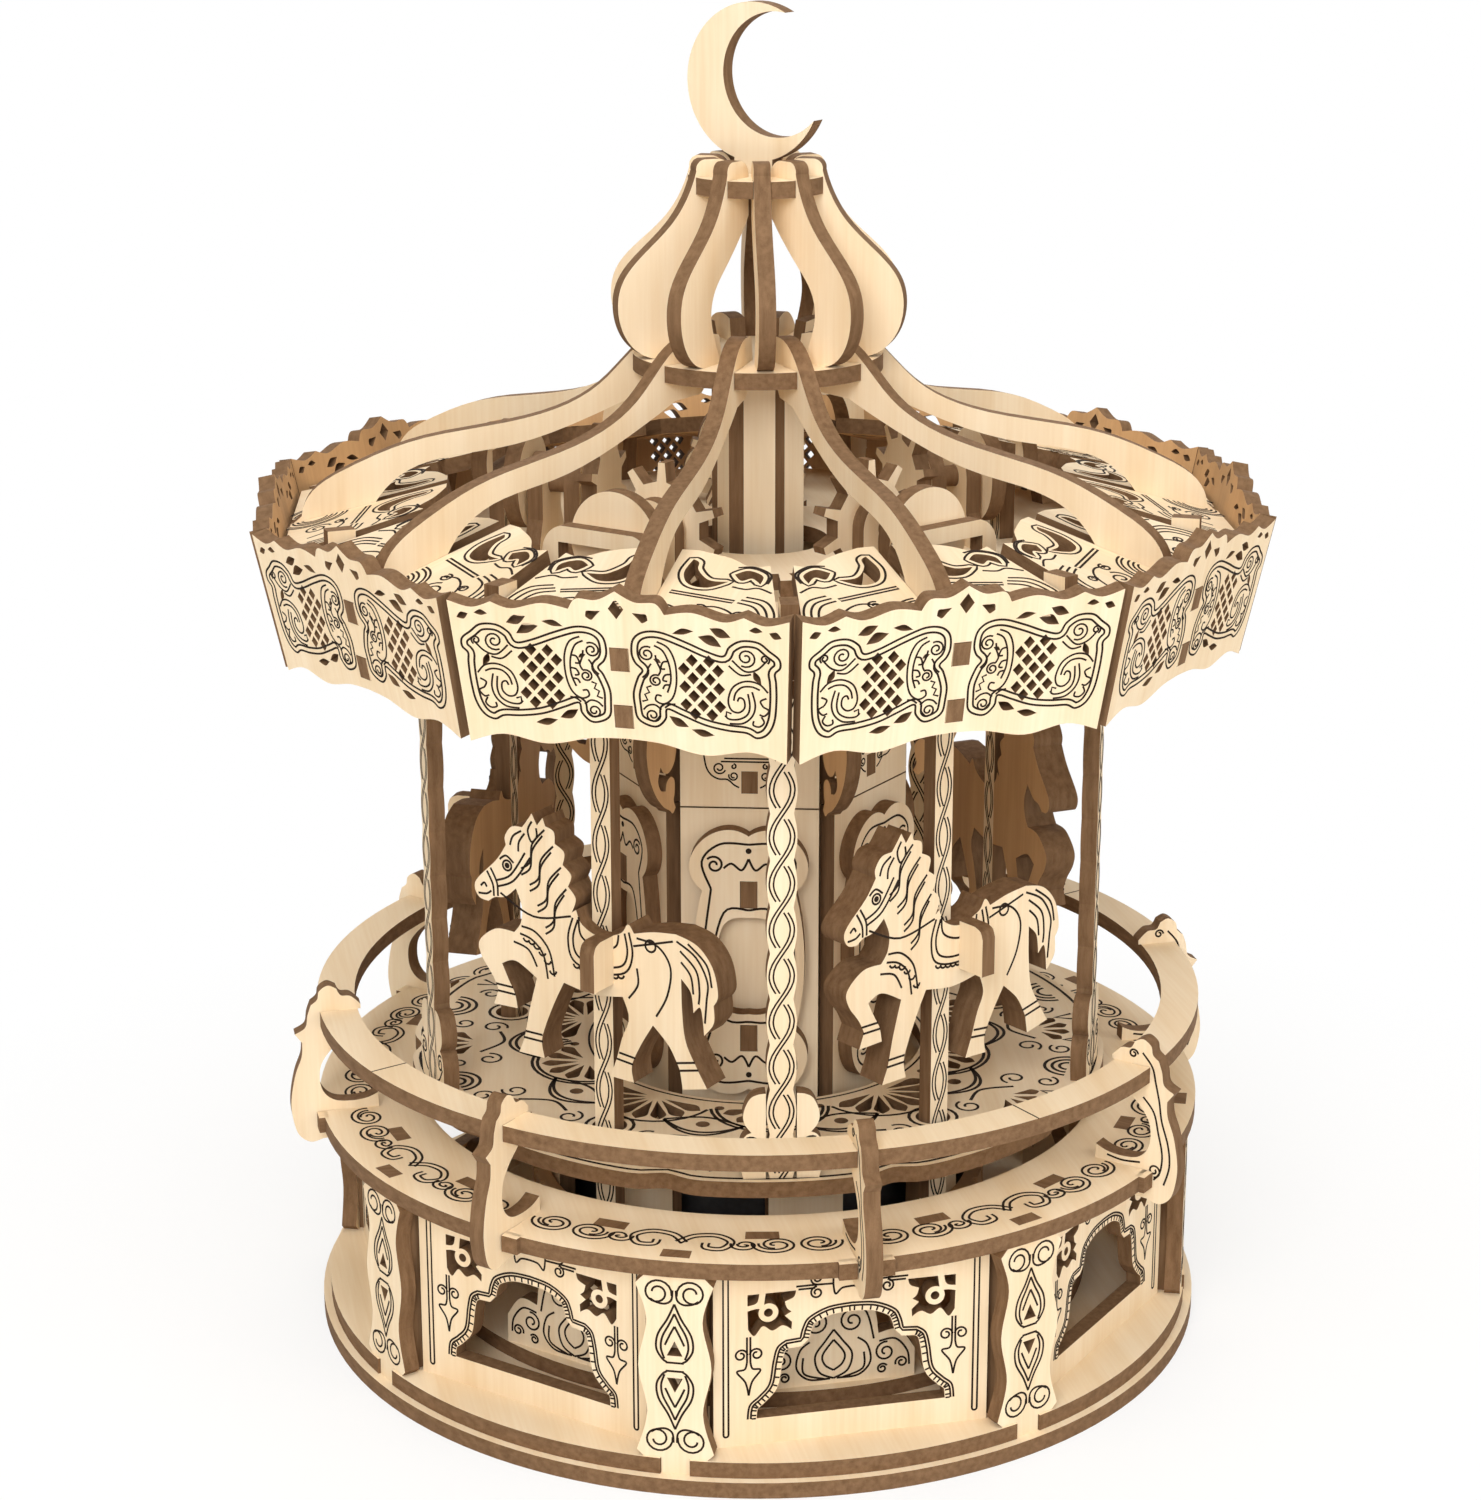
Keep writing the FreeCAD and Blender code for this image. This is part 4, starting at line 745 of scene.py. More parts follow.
def platform_design():
    """The whole platform: a lobed rim, fans of pierced petals at the inner edge and nested arcs at the rim."""
    def rim(distance, step):
        """Ten lobes with a hollow where two of them meet."""
        lobe = 360 / ROOF_SIDES
        return [polar(PLATFORM_R - distance - 1.8 * math.exp(-((along % lobe - lobe / 2) / 3.0) ** 2), along)
                for along in range(0, 360, step)]

    holes = [circle(0, 0, PLATFORM_HOLE_R, 120)]
    lines = []
    scrolls = []

    def fan(radius, along, petals, length, width):
        x, y = polar(radius, along)
        for turn in petals:
            way = along - 90 + turn
            near = 2.0 * math.cos(math.radians(way)), 2.0 * math.sin(math.radians(way))
            holes.append(drop(x + near[0], y + near[1], length, width, way, 4))

    def nest(radius, along, sizes, turn=180):
        x, y = polar(radius, along)
        for size in sizes:
            lines.append(arc(x, y, size, along, along + turn, 18))

    for pole in ring(HORSES, HALF_STEP):
        x, y = polar(POLE_AT, pole)
        holes.append(circle(x, y, 3.18))
        lines.append(arc(x, y, 4.4, 0, 360))
        fan(34.8, pole, (-84, -60, -36, -12, 12, 36, 60, 84), 8.4, 2.9)
        fan(34.4, pole + HALF_STEP, (-75, -45, -15, 15, 45, 75), 7.0, 2.7)
        nest(34.8, pole, (11.2,), -180)
        nest(34.4, pole + HALF_STEP, (9.8, 10.8), -180)
        nest(60.5, pole + HALF_STEP, (1.6, 3.0, 4.4))
        nest(62.4, pole, (2.0, 3.4, 4.8))
        for side in (-1, 1):
            holes.append(circle(*polar(43.0, pole + side * 19), 1.3, 14))
            holes.append(circle(*polar(35.4, pole + side * 21), 0.9, 12))
            for rise in (4.8, 3.6, -3.0):
                lines.append([polar(43.0 + rise * math.sin(math.pi * part / 20.0), pole + side * (9 + part))
                              for part in range(21)])
            for radius, along, size, start, turns in ((51.4, 9.4, 2.6, 90, 1.2), (52.2, 27, 2.6, 200, -1.2),
                                                      (57.6, 8.0, 2.3, 270, 1.2), (58.4, 28, 2.3, 20, -1.2)):
                scrolls.append(spiral(*polar(radius, pole + side * along), size, 0.7, pole + start, side * turns))
            lines.append(curve([polar(radius, pole + side * along)
                                for radius, along in ((50.0, 12), (49.0, 18), (53.6, 23))]))
            fan(53.6, pole + side * 18, (-48, -16, 16, 48), 5.2, 2.4)
            for part in (12.5, 23.5):
                tip = polar(59.0, pole + side * part)
                lines.append([polar(62.6, pole + side * (part - 1.3)), tip, polar(62.6, pole + side * (part + 1.3))])
    made = Design().plate(rim(0.0, 1), holes)
    made.lines(lines, width=0.62).lines(scrolls, width=0.5)
    made.line(rim(1.4, 2), width=0.6, closed=True)
    return made.line(circle(0, 0, 32.6, 120), closed=True)


cut("platform", "carousel", [platform_design()], [level(PLATFORM_Z, CAROUSEL_TURN)])


# Twisted columns

COLUMN_AT = 62.0
TWISTS = 11
TWIST_WAIST = 4.0
TWIST_WIDTH = 5.2
TWIST_TALL = 92.0
TWIST_SWAY = 1.8
BAND_HALF = 0.36       # half the width of one of the two bands
UNDER = 0.12           # half of what the upper band hides of the lower one, as a part of a twist


def twist_lines(height, turns, sway, at, up):
    """Two bands that wind about each other up a post, one over and one under at each crossing."""
    made = Design()
    step = height / turns
    for index in range(turns + 1):
        for way, low, high in ((1, -0.5, 0.5), (-1, -0.5, -UNDER), (-1, UNDER, 0.5)):
            for shift in (-BAND_HALF, BAND_HALF):
                path = []
                for part in range(9):
                    t = low + (high - low) * part / 8.0
                    y = (index + t) * step
                    if 0.0 <= y <= height:
                        path.append((way * sway * math.sin(math.pi * t) + shift, y))
                if len(path) > 2:
                    made.line(path, width=0.3, at=at, up=up)
    return made


def twists(height, turns, sway):
    """Those lines on the front and on the back of a plate."""
    return [twist_lines(height, turns, sway, at, up) for at, up in ((PLY, 1), (0.0, -1))]


def column_design():
    """Plate with a waist at each crossing of the two bands."""
    right = []
    for part in range(8 * TWISTS + 1):
        swell = math.sin(math.pi * (part % 8) / 8.0)
        right.append((TWIST_WAIST / 2 + swell * (TWIST_WIDTH - TWIST_WAIST) / 2, TWIST_TALL / TWISTS * part / 8.0))
    return Design().plate(right + flip(right)[::-1])


def foot_design():
    """Foot at the right of a column: a scroll on the platform and a round lobe above it."""
    # The back of the foot takes the painted shade, a darker copy of the birch.
    foot = Design().plate(shape((2.7, 0.0), [(6.6, 0.0)], [(7.3, 3.2), (7.1, 6.6), (6.2, 8.2), (5.2, 8.7)],
                                [(6.4, 10.4), (6.6, 12.4), (5.6, 14.9), (4.2, 15.8), (2.7, 16.0)]), back=PAINTED_SHADE_SLOT)
    return foot.lines([spiral(5.2, 6.2, 1.7, 0.35, 60, 1.5), curve([(3.0, 2.0), (4.6, 3.0), (6.6, 5.4)])])


column_places = facings(HORSES, CAROUSEL_TURN, COLUMN_AT, PLATFORM_TOP)
cut("canopy_columns", "carousel", [column_design()] + twists(TWIST_TALL, TWISTS, TWIST_SWAY), column_places)
cut("column_feet", "carousel", [foot_design(), flipped_design(foot_design())], column_places)


# Valance

VALANCE_AT = 82.28
VALANCE_Z = 134.81
VALANCE_LEAN = 11.7
FOOT = 26.62           # half width of a panel at its foot
HEAD = 28.30           # and at its head
TALL = 25.6


def valance_design():
    """Panel with two slots in its middle and, on either side, a lattice in a border and scrolls."""
    right = shape(
        (0.0, 2.6), [(FOOT * 0.22, 2.2), (FOOT * 0.5, 0.6), (FOOT * 0.78, 1.8), (FOOT, 0.0)], [(HEAD, TALL)],
        [(HEAD * 0.86, TALL - 1.0), (HEAD * 0.74, TALL + 0.2)],
        [(HEAD * 0.62, TALL - 0.8), (HEAD * 0.44, TALL + 0.5), (HEAD * 0.28, TALL - 0.2)],
        [(HEAD * 0.23, TALL + 1.7), (HEAD * 0.11, TALL + 1.7), (0.0, TALL + 3.4)])
    outer = right + flip(right)[::-1][1:]
    half_holes = [
        leaf((26.9, 22.6), (24.9, 23.4), -0.3, 0.3),
        leaf((23.9, 23.6), (21.6, 23.6), -0.3, 0.15),
        drop(2.6, 25.4, 2.8, 1.7, -25),
        leaf((12.6, 22.9), (9.0, 22.2), -0.2, 0.1),
        leaf((17.0, 20.4), (13.2, 22.0), -0.3, 0.14),
        leaf((18.6, 22.2), (15.2, 23.6), -0.22, 0.24),
        leaf((7.6, 7.4), (10.8, 5.6), -0.26, 0.16),
        leaf((11.2, 5.2), (15.0, 4.4), -0.2, 0.14),
        leaf((22.0, 16.6), (23.2, 14.2), 0.16, -0.26),
        leaf((5.6, 17.5), (6.9, 16.8), 0.3, -0.2),
    ]
    for across in range(-2, 3):
        for up in range(-3, 4):
            if (across + up) % 2 == 0 and (across / 2.5) ** 2 + (up / 3.6) ** 2 <= 1.0:
                half_holes.append(diamond(13.4 + 1.4 * across, 12.9 + 1.6 * up, 1.0, 1.15))
    slots = [box(-1.6, 4.5, 1.6, 8.7), box(-1.6, 14.8, 1.6, 19.0)]
    # The inner face of the panel takes the painted shade, a darker copy of the birch.
    plate = Design().plate(outer, slots + [diamond(0.0, 25.9, 1.3, 1.8)] + both(half_holes), back=PAINTED_SHADE_SLOT)
    border = curve([(2.1, 18.3), (2.5, 20.7), (4.2, 22.1), (7.0, 22.3), (10.8, 21.0), (14.6, 19.4), (17.2, 18.8),
                    (18.3, 20.5), (20.3, 21.7), (23.0, 21.6), (24.8, 20.2), (26.3, 18.9), (26.4, 17.4), (25.5, 16.3),
                    (25.6, 14.6), (25.5, 11.4), (25.0, 7.8), (23.8, 5.4), (22.0, 4.5), (20.3, 5.3), (17.2, 5.5),
                    (13.5, 6.2), (9.8, 7.7), (7.4, 8.6), (7.0, 6.8), (5.5, 5.3), (3.6, 5.6), (2.3, 6.7), (2.0, 8.9),
                    (2.0, 11.3), (2.9, 14.0), (3.7, 15.3), (2.6, 16.6)], True)
    plate.lines(both([border, inset(border, 1.0)]), width=0.36, closed=True)
    beside_slots = [
        curve([(6.4, 20.6), (8.2, 19.6), (9.2, 17.0), (9.2, 13.4), (8.4, 10.7), (6.9, 9.5), (5.6, 10.0), (5.8, 11.0),
               (6.6, 10.9)]),
        curve([(5.9, 19.9), (7.3, 19.0), (8.2, 16.6), (8.3, 13.8), (7.6, 11.6)]),
        curve([(8.1, 17.2), (7.2, 17.0), (6.8, 15.9), (7.5, 15.8)]),
        curve([(8.3, 14.9), (7.4, 14.7), (7.0, 13.8), (7.7, 13.6)]),
        curve([(8.1, 13.0), (7.3, 12.9), (6.9, 12.2)]),
        spiral(4.6, 18.3, 1.4, 0.3, 60, 1.6),
        spiral(5.8, 13.6, 1.1, 0.3, 60, 1.6),
        curve([(6.3, 14.6), (6.7, 15.6), (6.2, 17.0), (6.0, 18.2)]),
        curve([(3.6, 14.0), (4.4, 14.8), (4.7, 15.8), (5.2, 16.6)]),
        [(5.0, 12.6), (4.2, 12.3), (4.6, 11.4), (3.8, 11.0), (4.2, 10.0), (3.3, 9.7)],
        spiral(4.9, 7.3, 1.3, 0.3, 20, -1.6),
        curve([(6.4, 8.4), (5.4, 9.2), (4.2, 9.0), (3.4, 8.2)]),
        curve([(8.8, 9.6), (7.8, 9.4), (7.0, 8.8)]),
    ]
    beside_corner = [
        curve([(24.2, 12.8), (22.8, 14.3), (20.6, 14.6), (18.5, 13.4), (17.6, 11.0), (18.0, 9.3), (19.2, 8.9),
               (20.2, 9.8), (20.2, 11.2), (19.5, 11.6), (19.1, 10.9)]),
        curve([(22.9, 13.2), (21.6, 13.7), (20.0, 13.5), (18.9, 12.4), (18.5, 11.0)]),
        curve([(21.6, 12.8), (22.0, 10.4), (21.4, 8.4), (19.8, 7.0), (17.6, 6.8)]),
        curve([(20.9, 12.4), (21.1, 10.2), (20.6, 8.6), (19.2, 7.7), (17.6, 7.6), (16.9, 8.2)]),
        [(18.0, 8.6), (17.2, 8.9), (17.1, 8.0)],
        curve([(23.9, 11.8), (22.9, 11.2), (23.3, 10.2)]),
        curve([(23.3, 10.2), (24.2, 9.6), (23.4, 8.6), (22.6, 8.8)]),
        curve([(22.9, 8.4), (23.3, 7.4), (22.5, 6.6), (21.5, 6.8), (21.6, 7.6)]),
        spiral(20.9, 18.8, 1.7, 0.3, 240, 1.7),
        curve([(18.6, 18.2), (20.6, 16.4), (22.6, 16.8), (24.2, 18.4)]),
        curve([(18.0, 17.2), (19.8, 15.7), (21.6, 15.9)]),
        spiral(24.0, 18.7, 0.8, 0.25, 300, 1.4),
    ]
    return plate.lines(both(beside_slots + beside_corner), width=0.32)


cut("valance_panels", "carousel", [valance_design()],
    facings(ROOF_SIDES, RIB_TURN, VALANCE_AT, VALANCE_Z, VALANCE_LEAN))


# Skirts of the roof

SKIRT_AT = 85.4
SKIRT_Z = 154.2
SKIRT_TILT = 14.18
SKIRT_LENGTH = 29.4


def skirt_design():
    """Half of a skirt, to the right of a rib, with pierced leaves, a pair of bars and a rosette at the rib."""
    edge = shape((1.6, 0.0), [(1.6, SKIRT_LENGTH)], [(4.6, SKIRT_LENGTH)], [(10.6, 27.3), (14.7, 24.6), (17.7, 25.6)],
                 [(25.7, 0.0)])
    holes = [
        shape((4.4, 26.2), [(5.6, 25.2), (6.2, 22.6), (8.8, 19.4), (12.2, 19.2)],
              [(9.2, 16.8), (5.8, 17.6), (4.0, 21.4), (4.4, 26.2)]),
        shape((12.6, 21.8), [(14.6, 23.4), (17.4, 21.8), (17.6, 19.0)], [(15.8, 20.8), (14.2, 19.8), (12.6, 21.8)]),
    ]
    # The underside of the skirt takes the painted shade, a darker copy of the birch.
    plate = Design().plate(edge, holes, -PLY, 0.0, back=PAINTED_SHADE_SLOT)
    plate.lines([inset(loop, -0.85) for loop in holes], at=0.0, closed=True)
    plate.line([(3.4, 14.4), (14.6, 12.2), (14.8, 13.0), (3.5, 15.2)], at=0.0, closed=True)
    plate.lines([
        curve([(12.6, 24.2), (15.4, 24.6), (18.6, 22.4), (18.8, 19.2)]),
        curve([(13.2, 17.6), (15.6, 17.0), (17.6, 17.6), (20.2, 16.2)]),
        curve([(15.4, 12.4), (18.4, 11.2), (20.2, 8.0), (20.6, 4.4)]),
        curve([(15.8, 13.4), (19.2, 12.2), (21.2, 8.8), (21.8, 4.4)]),
        curve([(16.4, 14.4), (20.0, 13.2), (22.2, 9.6), (23.0, 5.2)]),
        *[arc(1.8, 4.6, radius, start, end) for radius, start, end in (
            (2.4, -80, 80), (3.3, -85, 85), (4.2, -85, 85), (5.4, -60, 85), (6.2, -55, 85))],
        spiral(9.6, 9.8, 1.3, 0.3, 120, -1.4),
        spiral(11.4, 5.6, 2.6, 0.4, 100, 1.7),
        curve([(8.6, 9.6), (12.0, 10.6), (15.4, 8.6), (17.4, 4.2)]),
        spiral(16.6, 8.4, 1.1, 0.3, 200, -1.4),
    ], at=0.0)
    return plate


cut("skirt_panels", "carousel", [skirt_design(), flipped_design(skirt_design())],
    facings(ROOF_SIDES, RIB_TURN, SKIRT_AT, SKIRT_Z, SKIRT_TILT - 90.0))


# Horses and their drive

THROW = 6.0            # of a crank
CRANK_START = 252.0    # angle of the first crank at rest
CRANK_STEP = 144.0     # and from one crank to the next
HORSE_LIFT = 13.7
HORSE_SIZE = 46.5 / 51.0
POLE_WIDTH = 4.2
POLE_BELOW = 14.0      # start of a pole's twist below the platform's top
POLE_TALL = 112.0
POLE_TWISTS = 12
POLE_SWAY = 1.35
PEG_HEIGHT = 9.0
PEG_REACH = 6.0
PEG_AT = 18.0


def horse_outline():
    """Side of a galloping horse that looks to the left, with curls in its mane and tail."""
    return shape(
        (-14.0, 51.0), [(-15.6, 48.8), (-16.4, 47.8)], [(-19.0, 47.4), (-20.6, 45.2), (-20.4, 43.4)],
        [(-22.9, 39.8), (-27.4, 35.4), (-28.3, 33.2), (-27.2, 31.3), (-25.0, 30.9)],
        [(-23.4, 32.0), (-20.8, 32.6), (-18.2, 34.8)], [(-16.8, 31.2), (-17.2, 27.8), (-18.8, 25.6)],
        [(-23.4, 25.4), (-27.4, 22.2), (-27.0, 19.0), (-24.4, 15.4), (-23.0, 12.6)], [(-24.2, 9.4)], [(-18.4, 9.6)],
        [(-19.0, 12.6), (-20.4, 15.2), (-22.0, 18.4)], [(-18.6, 19.6), (-13.5, 17.0)],
        [(-15.4, 10.2), (-16.4, 5.6), (-16.8, 3.8)], [(-18.2, 0.4)], [(-12.0, 0.4)],
        [(-12.6, 3.8), (-11.6, 7.4), (-9.4, 12.6), (-7.0, 17.4)], [(0.0, 16.4), (7.0, 17.4)],
        [(8.4, 13.2), (6.8, 9.0), (5.4, 4.2)], [(3.9, 0.2)], [(9.4, 0.0)], [(9.0, 3.6), (11.2, 8.4), (14.0, 13.0)],
        [(17.8, 9.4), (20.2, 5.0)], [(20.8, 1.2)], [(26.4, 2.6)],
        [(24.2, 6.2), (21.6, 11.2), (20.8, 17.0), (20.6, 24.0)], [(22.8, 21.6), (23.4, 17.6)],
        [(24.8, 19.0), (25.4, 17.4), (25.8, 13.4)], [(28.0, 16.4), (28.0, 20.0)],
        [(29.0, 22.4), (27.8, 27.6), (24.4, 31.4), (19.5, 32.8)], [(14.4, 32.2), (9.8, 31.0)],
        [(8.4, 32.6), (6.6, 30.4), (1.6, 28.8), (-2.4, 30.4), (-3.8, 33.2)], [(-4.8, 32.4)],
        [(-3.8, 35.4), (-5.6, 37.6)], [(-4.8, 40.0), (-6.8, 41.8)], [(-6.4, 44.4), (-8.6, 45.8)],
        [(-8.8, 48.2), (-10.8, 49.0)], [(-11.4, 50.6)], [(-12.8, 48.8)], [(-14.0, 51.0)])


def horse_lines():
    """Mane, bridle, collar, saddle, tail and hooves."""
    strands = []
    for x, y, reach in ((-10.4, 48.2, 1.0), (-8.4, 45.2, 1.0), (-6.6, 41.2, 1.0), (-5.4, 37.0, 0.9)):
        for shift in (0.0, 1.3):
            strands.append(curve([(x - 0.6 - shift * 0.4, y - shift), (x - 3.6 * reach, y - 3.4 - shift),
                                  (x - 4.2 * reach, y - 7.2 - shift), (x - 6.4 * reach, y - 9.0 - shift)]))
    tail = [curve([(19.6, 31.4), (24.0, 29.0), (26.6, 24.6), (26.4, 20.6), (26.0, 16.0)]),
            curve([(20.4, 29.6), (24.0, 26.4), (24.8, 22.4), (24.6, 19.6)]),
            curve([(20.6, 27.4), (22.8, 25.0), (23.4, 21.4)]),
            curve([(22.2, 31.4), (26.4, 28.0), (27.6, 23.6)])]
    head = [arc(-20.2, 39.2, 1.05, 0, 360, 16),
            curve([(-22.0, 40.2), (-20.4, 41.2), (-18.6, 40.0)]),
            curve([(-26.8, 33.8), (-25.9, 34.6), (-25.3, 33.8)]),
            curve([(-27.4, 32.2), (-25.4, 32.4), (-24.2, 33.2)]),
            curve([(-14.0, 49.4), (-15.0, 47.4), (-14.2, 45.2), (-12.9, 46.4), (-13.0, 48.2)]),
            curve([(-16.6, 47.0), (-18.6, 45.6), (-19.4, 43.6)]), curve([(-15.8, 46.6), (-17.2, 44.6), (-17.4, 42.6)]),
            curve([(-25.2, 37.2), (-23.8, 34.6), (-23.6, 32.2)]), curve([(-24.3, 38.0), (-22.8, 35.2), (-22.6, 32.4)]),
            curve([(-23.0, 35.6), (-19.4, 37.4), (-15.8, 42.6)]), curve([(-22.6, 34.4), (-18.6, 36.4), (-14.6, 41.8)]),
            curve([(-22.0, 33.2), (-14.0, 29.8), (-5.0, 31.6)])]
    collar = [curve([(-17.0, 27.2), (-13.6, 26.6), (-10.4, 23.4), (-9.2, 18.2)]),
              curve([(-17.4, 25.6), (-14.4, 24.8), (-11.8, 22.2), (-10.8, 17.4)])]
    for part in range(6):
        x, y = -15.8 + part * 1.25, 25.0 - 0.12 * part - 0.2 * part * part
        collar.append(arc(x, y, 0.8, 190, 330 + 6 * part, 8))
    saddle = [curve([(-4.6, 31.4), (-5.8, 27.0), (-4.6, 22.6), (0.8, 21.2), (7.4, 22.4), (9.4, 26.4), (8.6, 31.0)]),
              curve([(-3.4, 31.2), (-4.6, 27.2), (-3.6, 23.8), (0.8, 22.6), (6.6, 23.6), (8.2, 26.6), (7.6, 30.6)]),
              curve([(-3.2, 31.8), (-2.6, 28.0), (1.4, 26.2), (5.4, 27.4), (6.2, 30.0)])]
    for part in range(9):
        x = -3.8 + part * 1.3
        saddle.append(arc(x, 21.9 - 0.16 * part * (8 - part) / 4, 0.75, 180, 360, 8))
    limbs = [curve([(10.4, 30.2), (15.4, 29.4), (18.2, 25.6), (17.4, 19.8), (14.8, 15.0)]),
             curve([(8.4, 17.4), (10.6, 20.6), (10.4, 24.0)]),
             curve([(9.6, 28.4), (13.6, 29.6), (18.8, 31.2)]),
             arc(13.6, 29.2, 1.2, 0, 360, 14),
             curve([(-19.0, 23.6), (-15.4, 22.6), (-13.4, 19.4)])]
    hooves = [[(-17.0, 3.8), (-12.4, 3.8)], [(-16.6, 5.2), (-12.4, 5.2)], [(5.4, 4.2), (9.2, 3.8)],
              [(6.0, 5.6), (9.8, 5.2)], [(20.2, 5.0), (24.4, 6.0)], [(19.4, 6.4), (23.6, 7.4)],
              [(-23.2, 12.4), (-18.9, 12.4)], [(-23.6, 13.8), (-19.5, 13.8)]]
    return strands + tail + head + collar + saddle + limbs + hooves


def beside(loop, edge, side):
    """Part of an outline beyond an upright line, on its left (-1) or its right (1)."""
    made = []
    for (ax, ay), (bx, by) in zip(loop, loop[1:] + loop[:1]):
        if (ax - edge) * side >= 0:
            made.append((ax, ay))
        if (ax - edge) * (bx - edge) < 0:
            made.append((edge, ay + (by - ay) * (edge - ax) / (bx - ax)))
    return made


def horse_design():
    """Side plate with engraved lines, and a plain backing in two halves beside the pole."""
    outer = [(x * HORSE_SIZE, y * HORSE_SIZE) for x, y in horse_outline()]
    lines = [[(x * HORSE_SIZE, y * HORSE_SIZE) for x, y in line] for line in horse_lines()]
    # The inner sides of the horse take the painted shade, a darker copy of the birch.
    horse = Design().plate(outer, low=PLY, high=2 * PLY, back=PAINTED_SHADE_SLOT)
    for side in (-1, 1):
        horse.plate(beside(outer, side * POLE_WIDTH / 2, side), back=PAINTED_SHADE_SLOT)
    horse.lines(lines, width=0.4, at=2 * PLY)
    eye = circle(-20.2 * HORSE_SIZE, 39.2 * HORSE_SIZE, 0.55, 12)
    return horse.patch(eye, LINE, 2 * PLY)


def peg_design():
    """Foot peg: a small upright plate, edge on to the horse, with its outer top corner rounded."""
    return Design().plate(shape((0.0, 0.0), [(PEG_REACH, 0.0)], [(PEG_REACH, PEG_HEIGHT - 2.0)],
                                [(PEG_REACH - 0.6, PEG_HEIGHT - 0.6), (PEG_REACH - 2.0, PEG_HEIGHT)],
                                [(0.0, PEG_HEIGHT)]))


for index, angle in enumerate(ring(HORSES, HORSE_TURN)):
    horse, pole, crank = [kind % (index + 1) for kind in ("horse_%d", "horse_pole_%d", "crank_%d")]
    lift = THROW * math.cos(math.radians(CRANK_START + CRANK_STEP * index))
    side = facing(POLE_AT - PLY / 2, PLATFORM_TOP + HORSE_LIFT + lift, angle)
    peg = side @ Matrix.Translation((PLY * 1.5, PEG_AT, 2 * PLY)) @ Matrix.Rotation(math.radians(-90), 4, "Y")
    Piece(horse + "_cut", horse, [horse]).stamp(horse_design(), [side]).stamp(peg_design(), [peg]).make()
    twisted = dressed(pole, horse)
    for design in twists(POLE_TALL, POLE_TWISTS, POLE_SWAY):
        twisted.stamp(design, [facing(POLE_AT - PLY / 2, PLATFORM_TOP - POLE_BELOW + lift, angle)])
    twisted.make()
    dressed(crank, crank).make()


# Movement

dressed("winding_key", "winding_key").make()

FITTINGS = {
    "movement_cover": PLASTIC, "post_bush": BRASS, "movement_bedplate": BRASS, "spring_barrel": BRASS,
    "mainspring": STEEL, "drive_shaft": STEEL, "pin_cylinder": BRASS, "tone_comb": STEEL, "governor": BRASS,
}
for node, material in FITTINGS.items():
    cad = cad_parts[node]
    if not cad.material_slots:
        cad.data.materials.append(material)
    for holder in cad.material_slots:
        holder.link = "OBJECT"
        holder.material = material


# Floor, light and camera


def seen_directly(tree):
    """1 for rays that show the background: from the camera, mirrored or passed through."""
    rays = add_node(tree, "LightPath").outputs
    mirrored = add_node(tree, "Math", {0: rays["Is Glossy Ray"], 1: rays["Is Transmission Ray"]}, "ADD")
    direct = add_node(tree, "Math", {0: rays["Is Camera Ray"], 1: mirrored.outputs["Value"]}, "ADD")
    return direct.outputs["Value"]


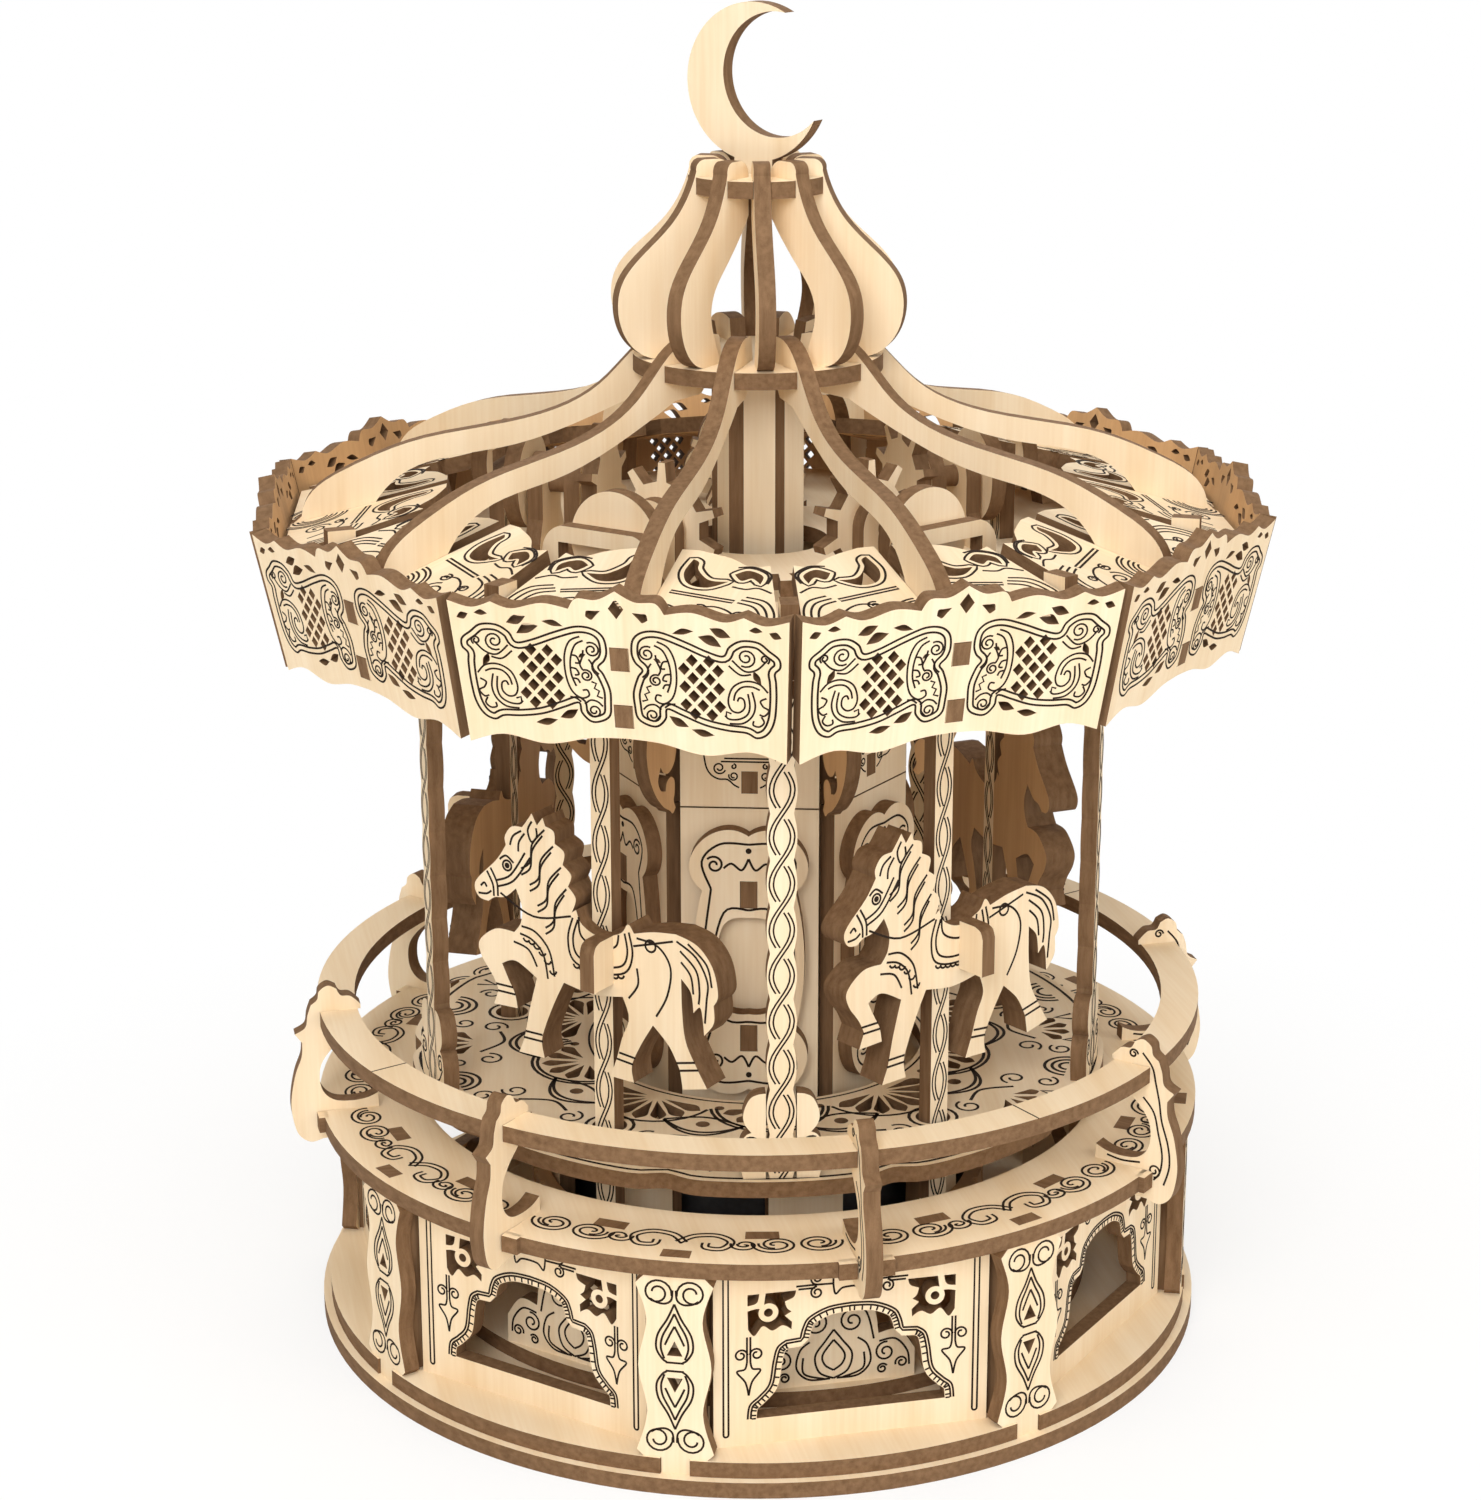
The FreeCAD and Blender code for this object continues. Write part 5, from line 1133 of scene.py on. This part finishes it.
def floor():
    """Pale floor that shows the shadow near the object and fades to white further out."""
    size = 9.0
    made = bpy.data.meshes.new("floor")
    made.from_pydata([(x, y, 0) for x, y in box(-size, -size, size, size)], [], [(0, 1, 2, 3)])
    material, tree, shader = node_material("pale_floor")
    fill(tree, shader, {"Base Color": (0.94, 0.94, 0.94, 1.0), "Roughness": 0.9, "Specular IOR Level": 0.0})
    place = add_node(tree, "TexCoord")
    reach = add_node(tree, "VectorMath", {0: place.outputs["Object"]}, "LENGTH")
    fade = add_node(tree, "MapRange", {"Value": reach.outputs["Value"], "From Min": 0.09, "From Max": 0.22,
                                       "To Min": 0.72})
    seen = add_node(tree, "Math", {0: fade.outputs["Result"], 1: seen_directly(tree)}, "MULTIPLY")
    white = add_node(tree, "Emission", {"Strength": 1.0})
    mix = add_node(tree, "MixShader", {"Fac": seen.outputs["Value"], 1: shader.outputs["BSDF"],
                                       2: white.outputs["Emission"]})
    fill(tree, tree.nodes["Material Output"], {"Surface": mix.outputs["Shader"]})
    made.materials.append(material)
    plane = bpy.data.objects.new("floor", made)
    bpy.context.scene.collection.objects.link(plane)


def area_light(name, place, aim, size, power):
    data = bpy.data.lights.new(name, "AREA")
    data.size = size
    data.energy = power
    lamp = bpy.data.objects.new(name, data)
    lamp.location = place
    lamp.rotation_euler = (Vector(aim) - Vector(place)).to_track_quat("-Z", "Y").to_euler()
    bpy.context.scene.collection.objects.link(lamp)


def studio():
    """Warm light from all round, behind a background that looks white."""
    world = bpy.context.scene.world or bpy.data.worlds.new("studio")
    bpy.context.scene.world = world
    world.use_nodes = True
    tree = world.node_tree
    glow = tree.nodes["Background"]
    fill(tree, glow, {"Color": (1.0, 0.85, 0.62, 1.0), "Strength": 0.28})
    white = add_node(tree, "Background", {"Color": (1.0, 1.0, 1.0, 1.0), "Strength": 1.0})
    mix = add_node(tree, "MixShader", {"Fac": seen_directly(tree), 1: glow.outputs["Background"],
                                       2: white.outputs["Background"]})
    fill(tree, tree.nodes["World Output"], {"Surface": mix.outputs["Shader"]})


floor()
area_light("key", (-0.60, -1.20, 0.95), (0.0, 0.0, 0.12), 0.7, 12.6)
area_light("fill", (0.95, -0.9, 0.6), (0.0, 0.0, 0.12), 0.9, 5.2)
area_light("front", (-0.10, -1.30, 0.38), (0.0, 0.0, 0.10), 0.9, 3.6)
area_light("back", (0.40, 1.25, 0.90), (0.0, 0.0, 0.12), 0.9, 5.0)
area_light("top", (-0.15, -0.25, 1.3), (0.0, 0.0, 0.15), 0.8, 7.2)
studio()

lens = bpy.data.cameras.new("camera")
lens.sensor_width = 36.0
lens.lens = 77.72
lens.shift_x = -0.01155
lens.shift_y = -0.0363
camera = bpy.data.objects.new("camera", lens)
camera.location = (-0.1272, -0.5682, 0.2908)
camera.rotation_euler = (math.radians(73.612), 0.0, math.radians(-12.62))
bpy.context.scene.collection.objects.link(camera)
bpy.context.scene.camera = camera
bpy.context.scene.view_settings.view_transform = "Standard"
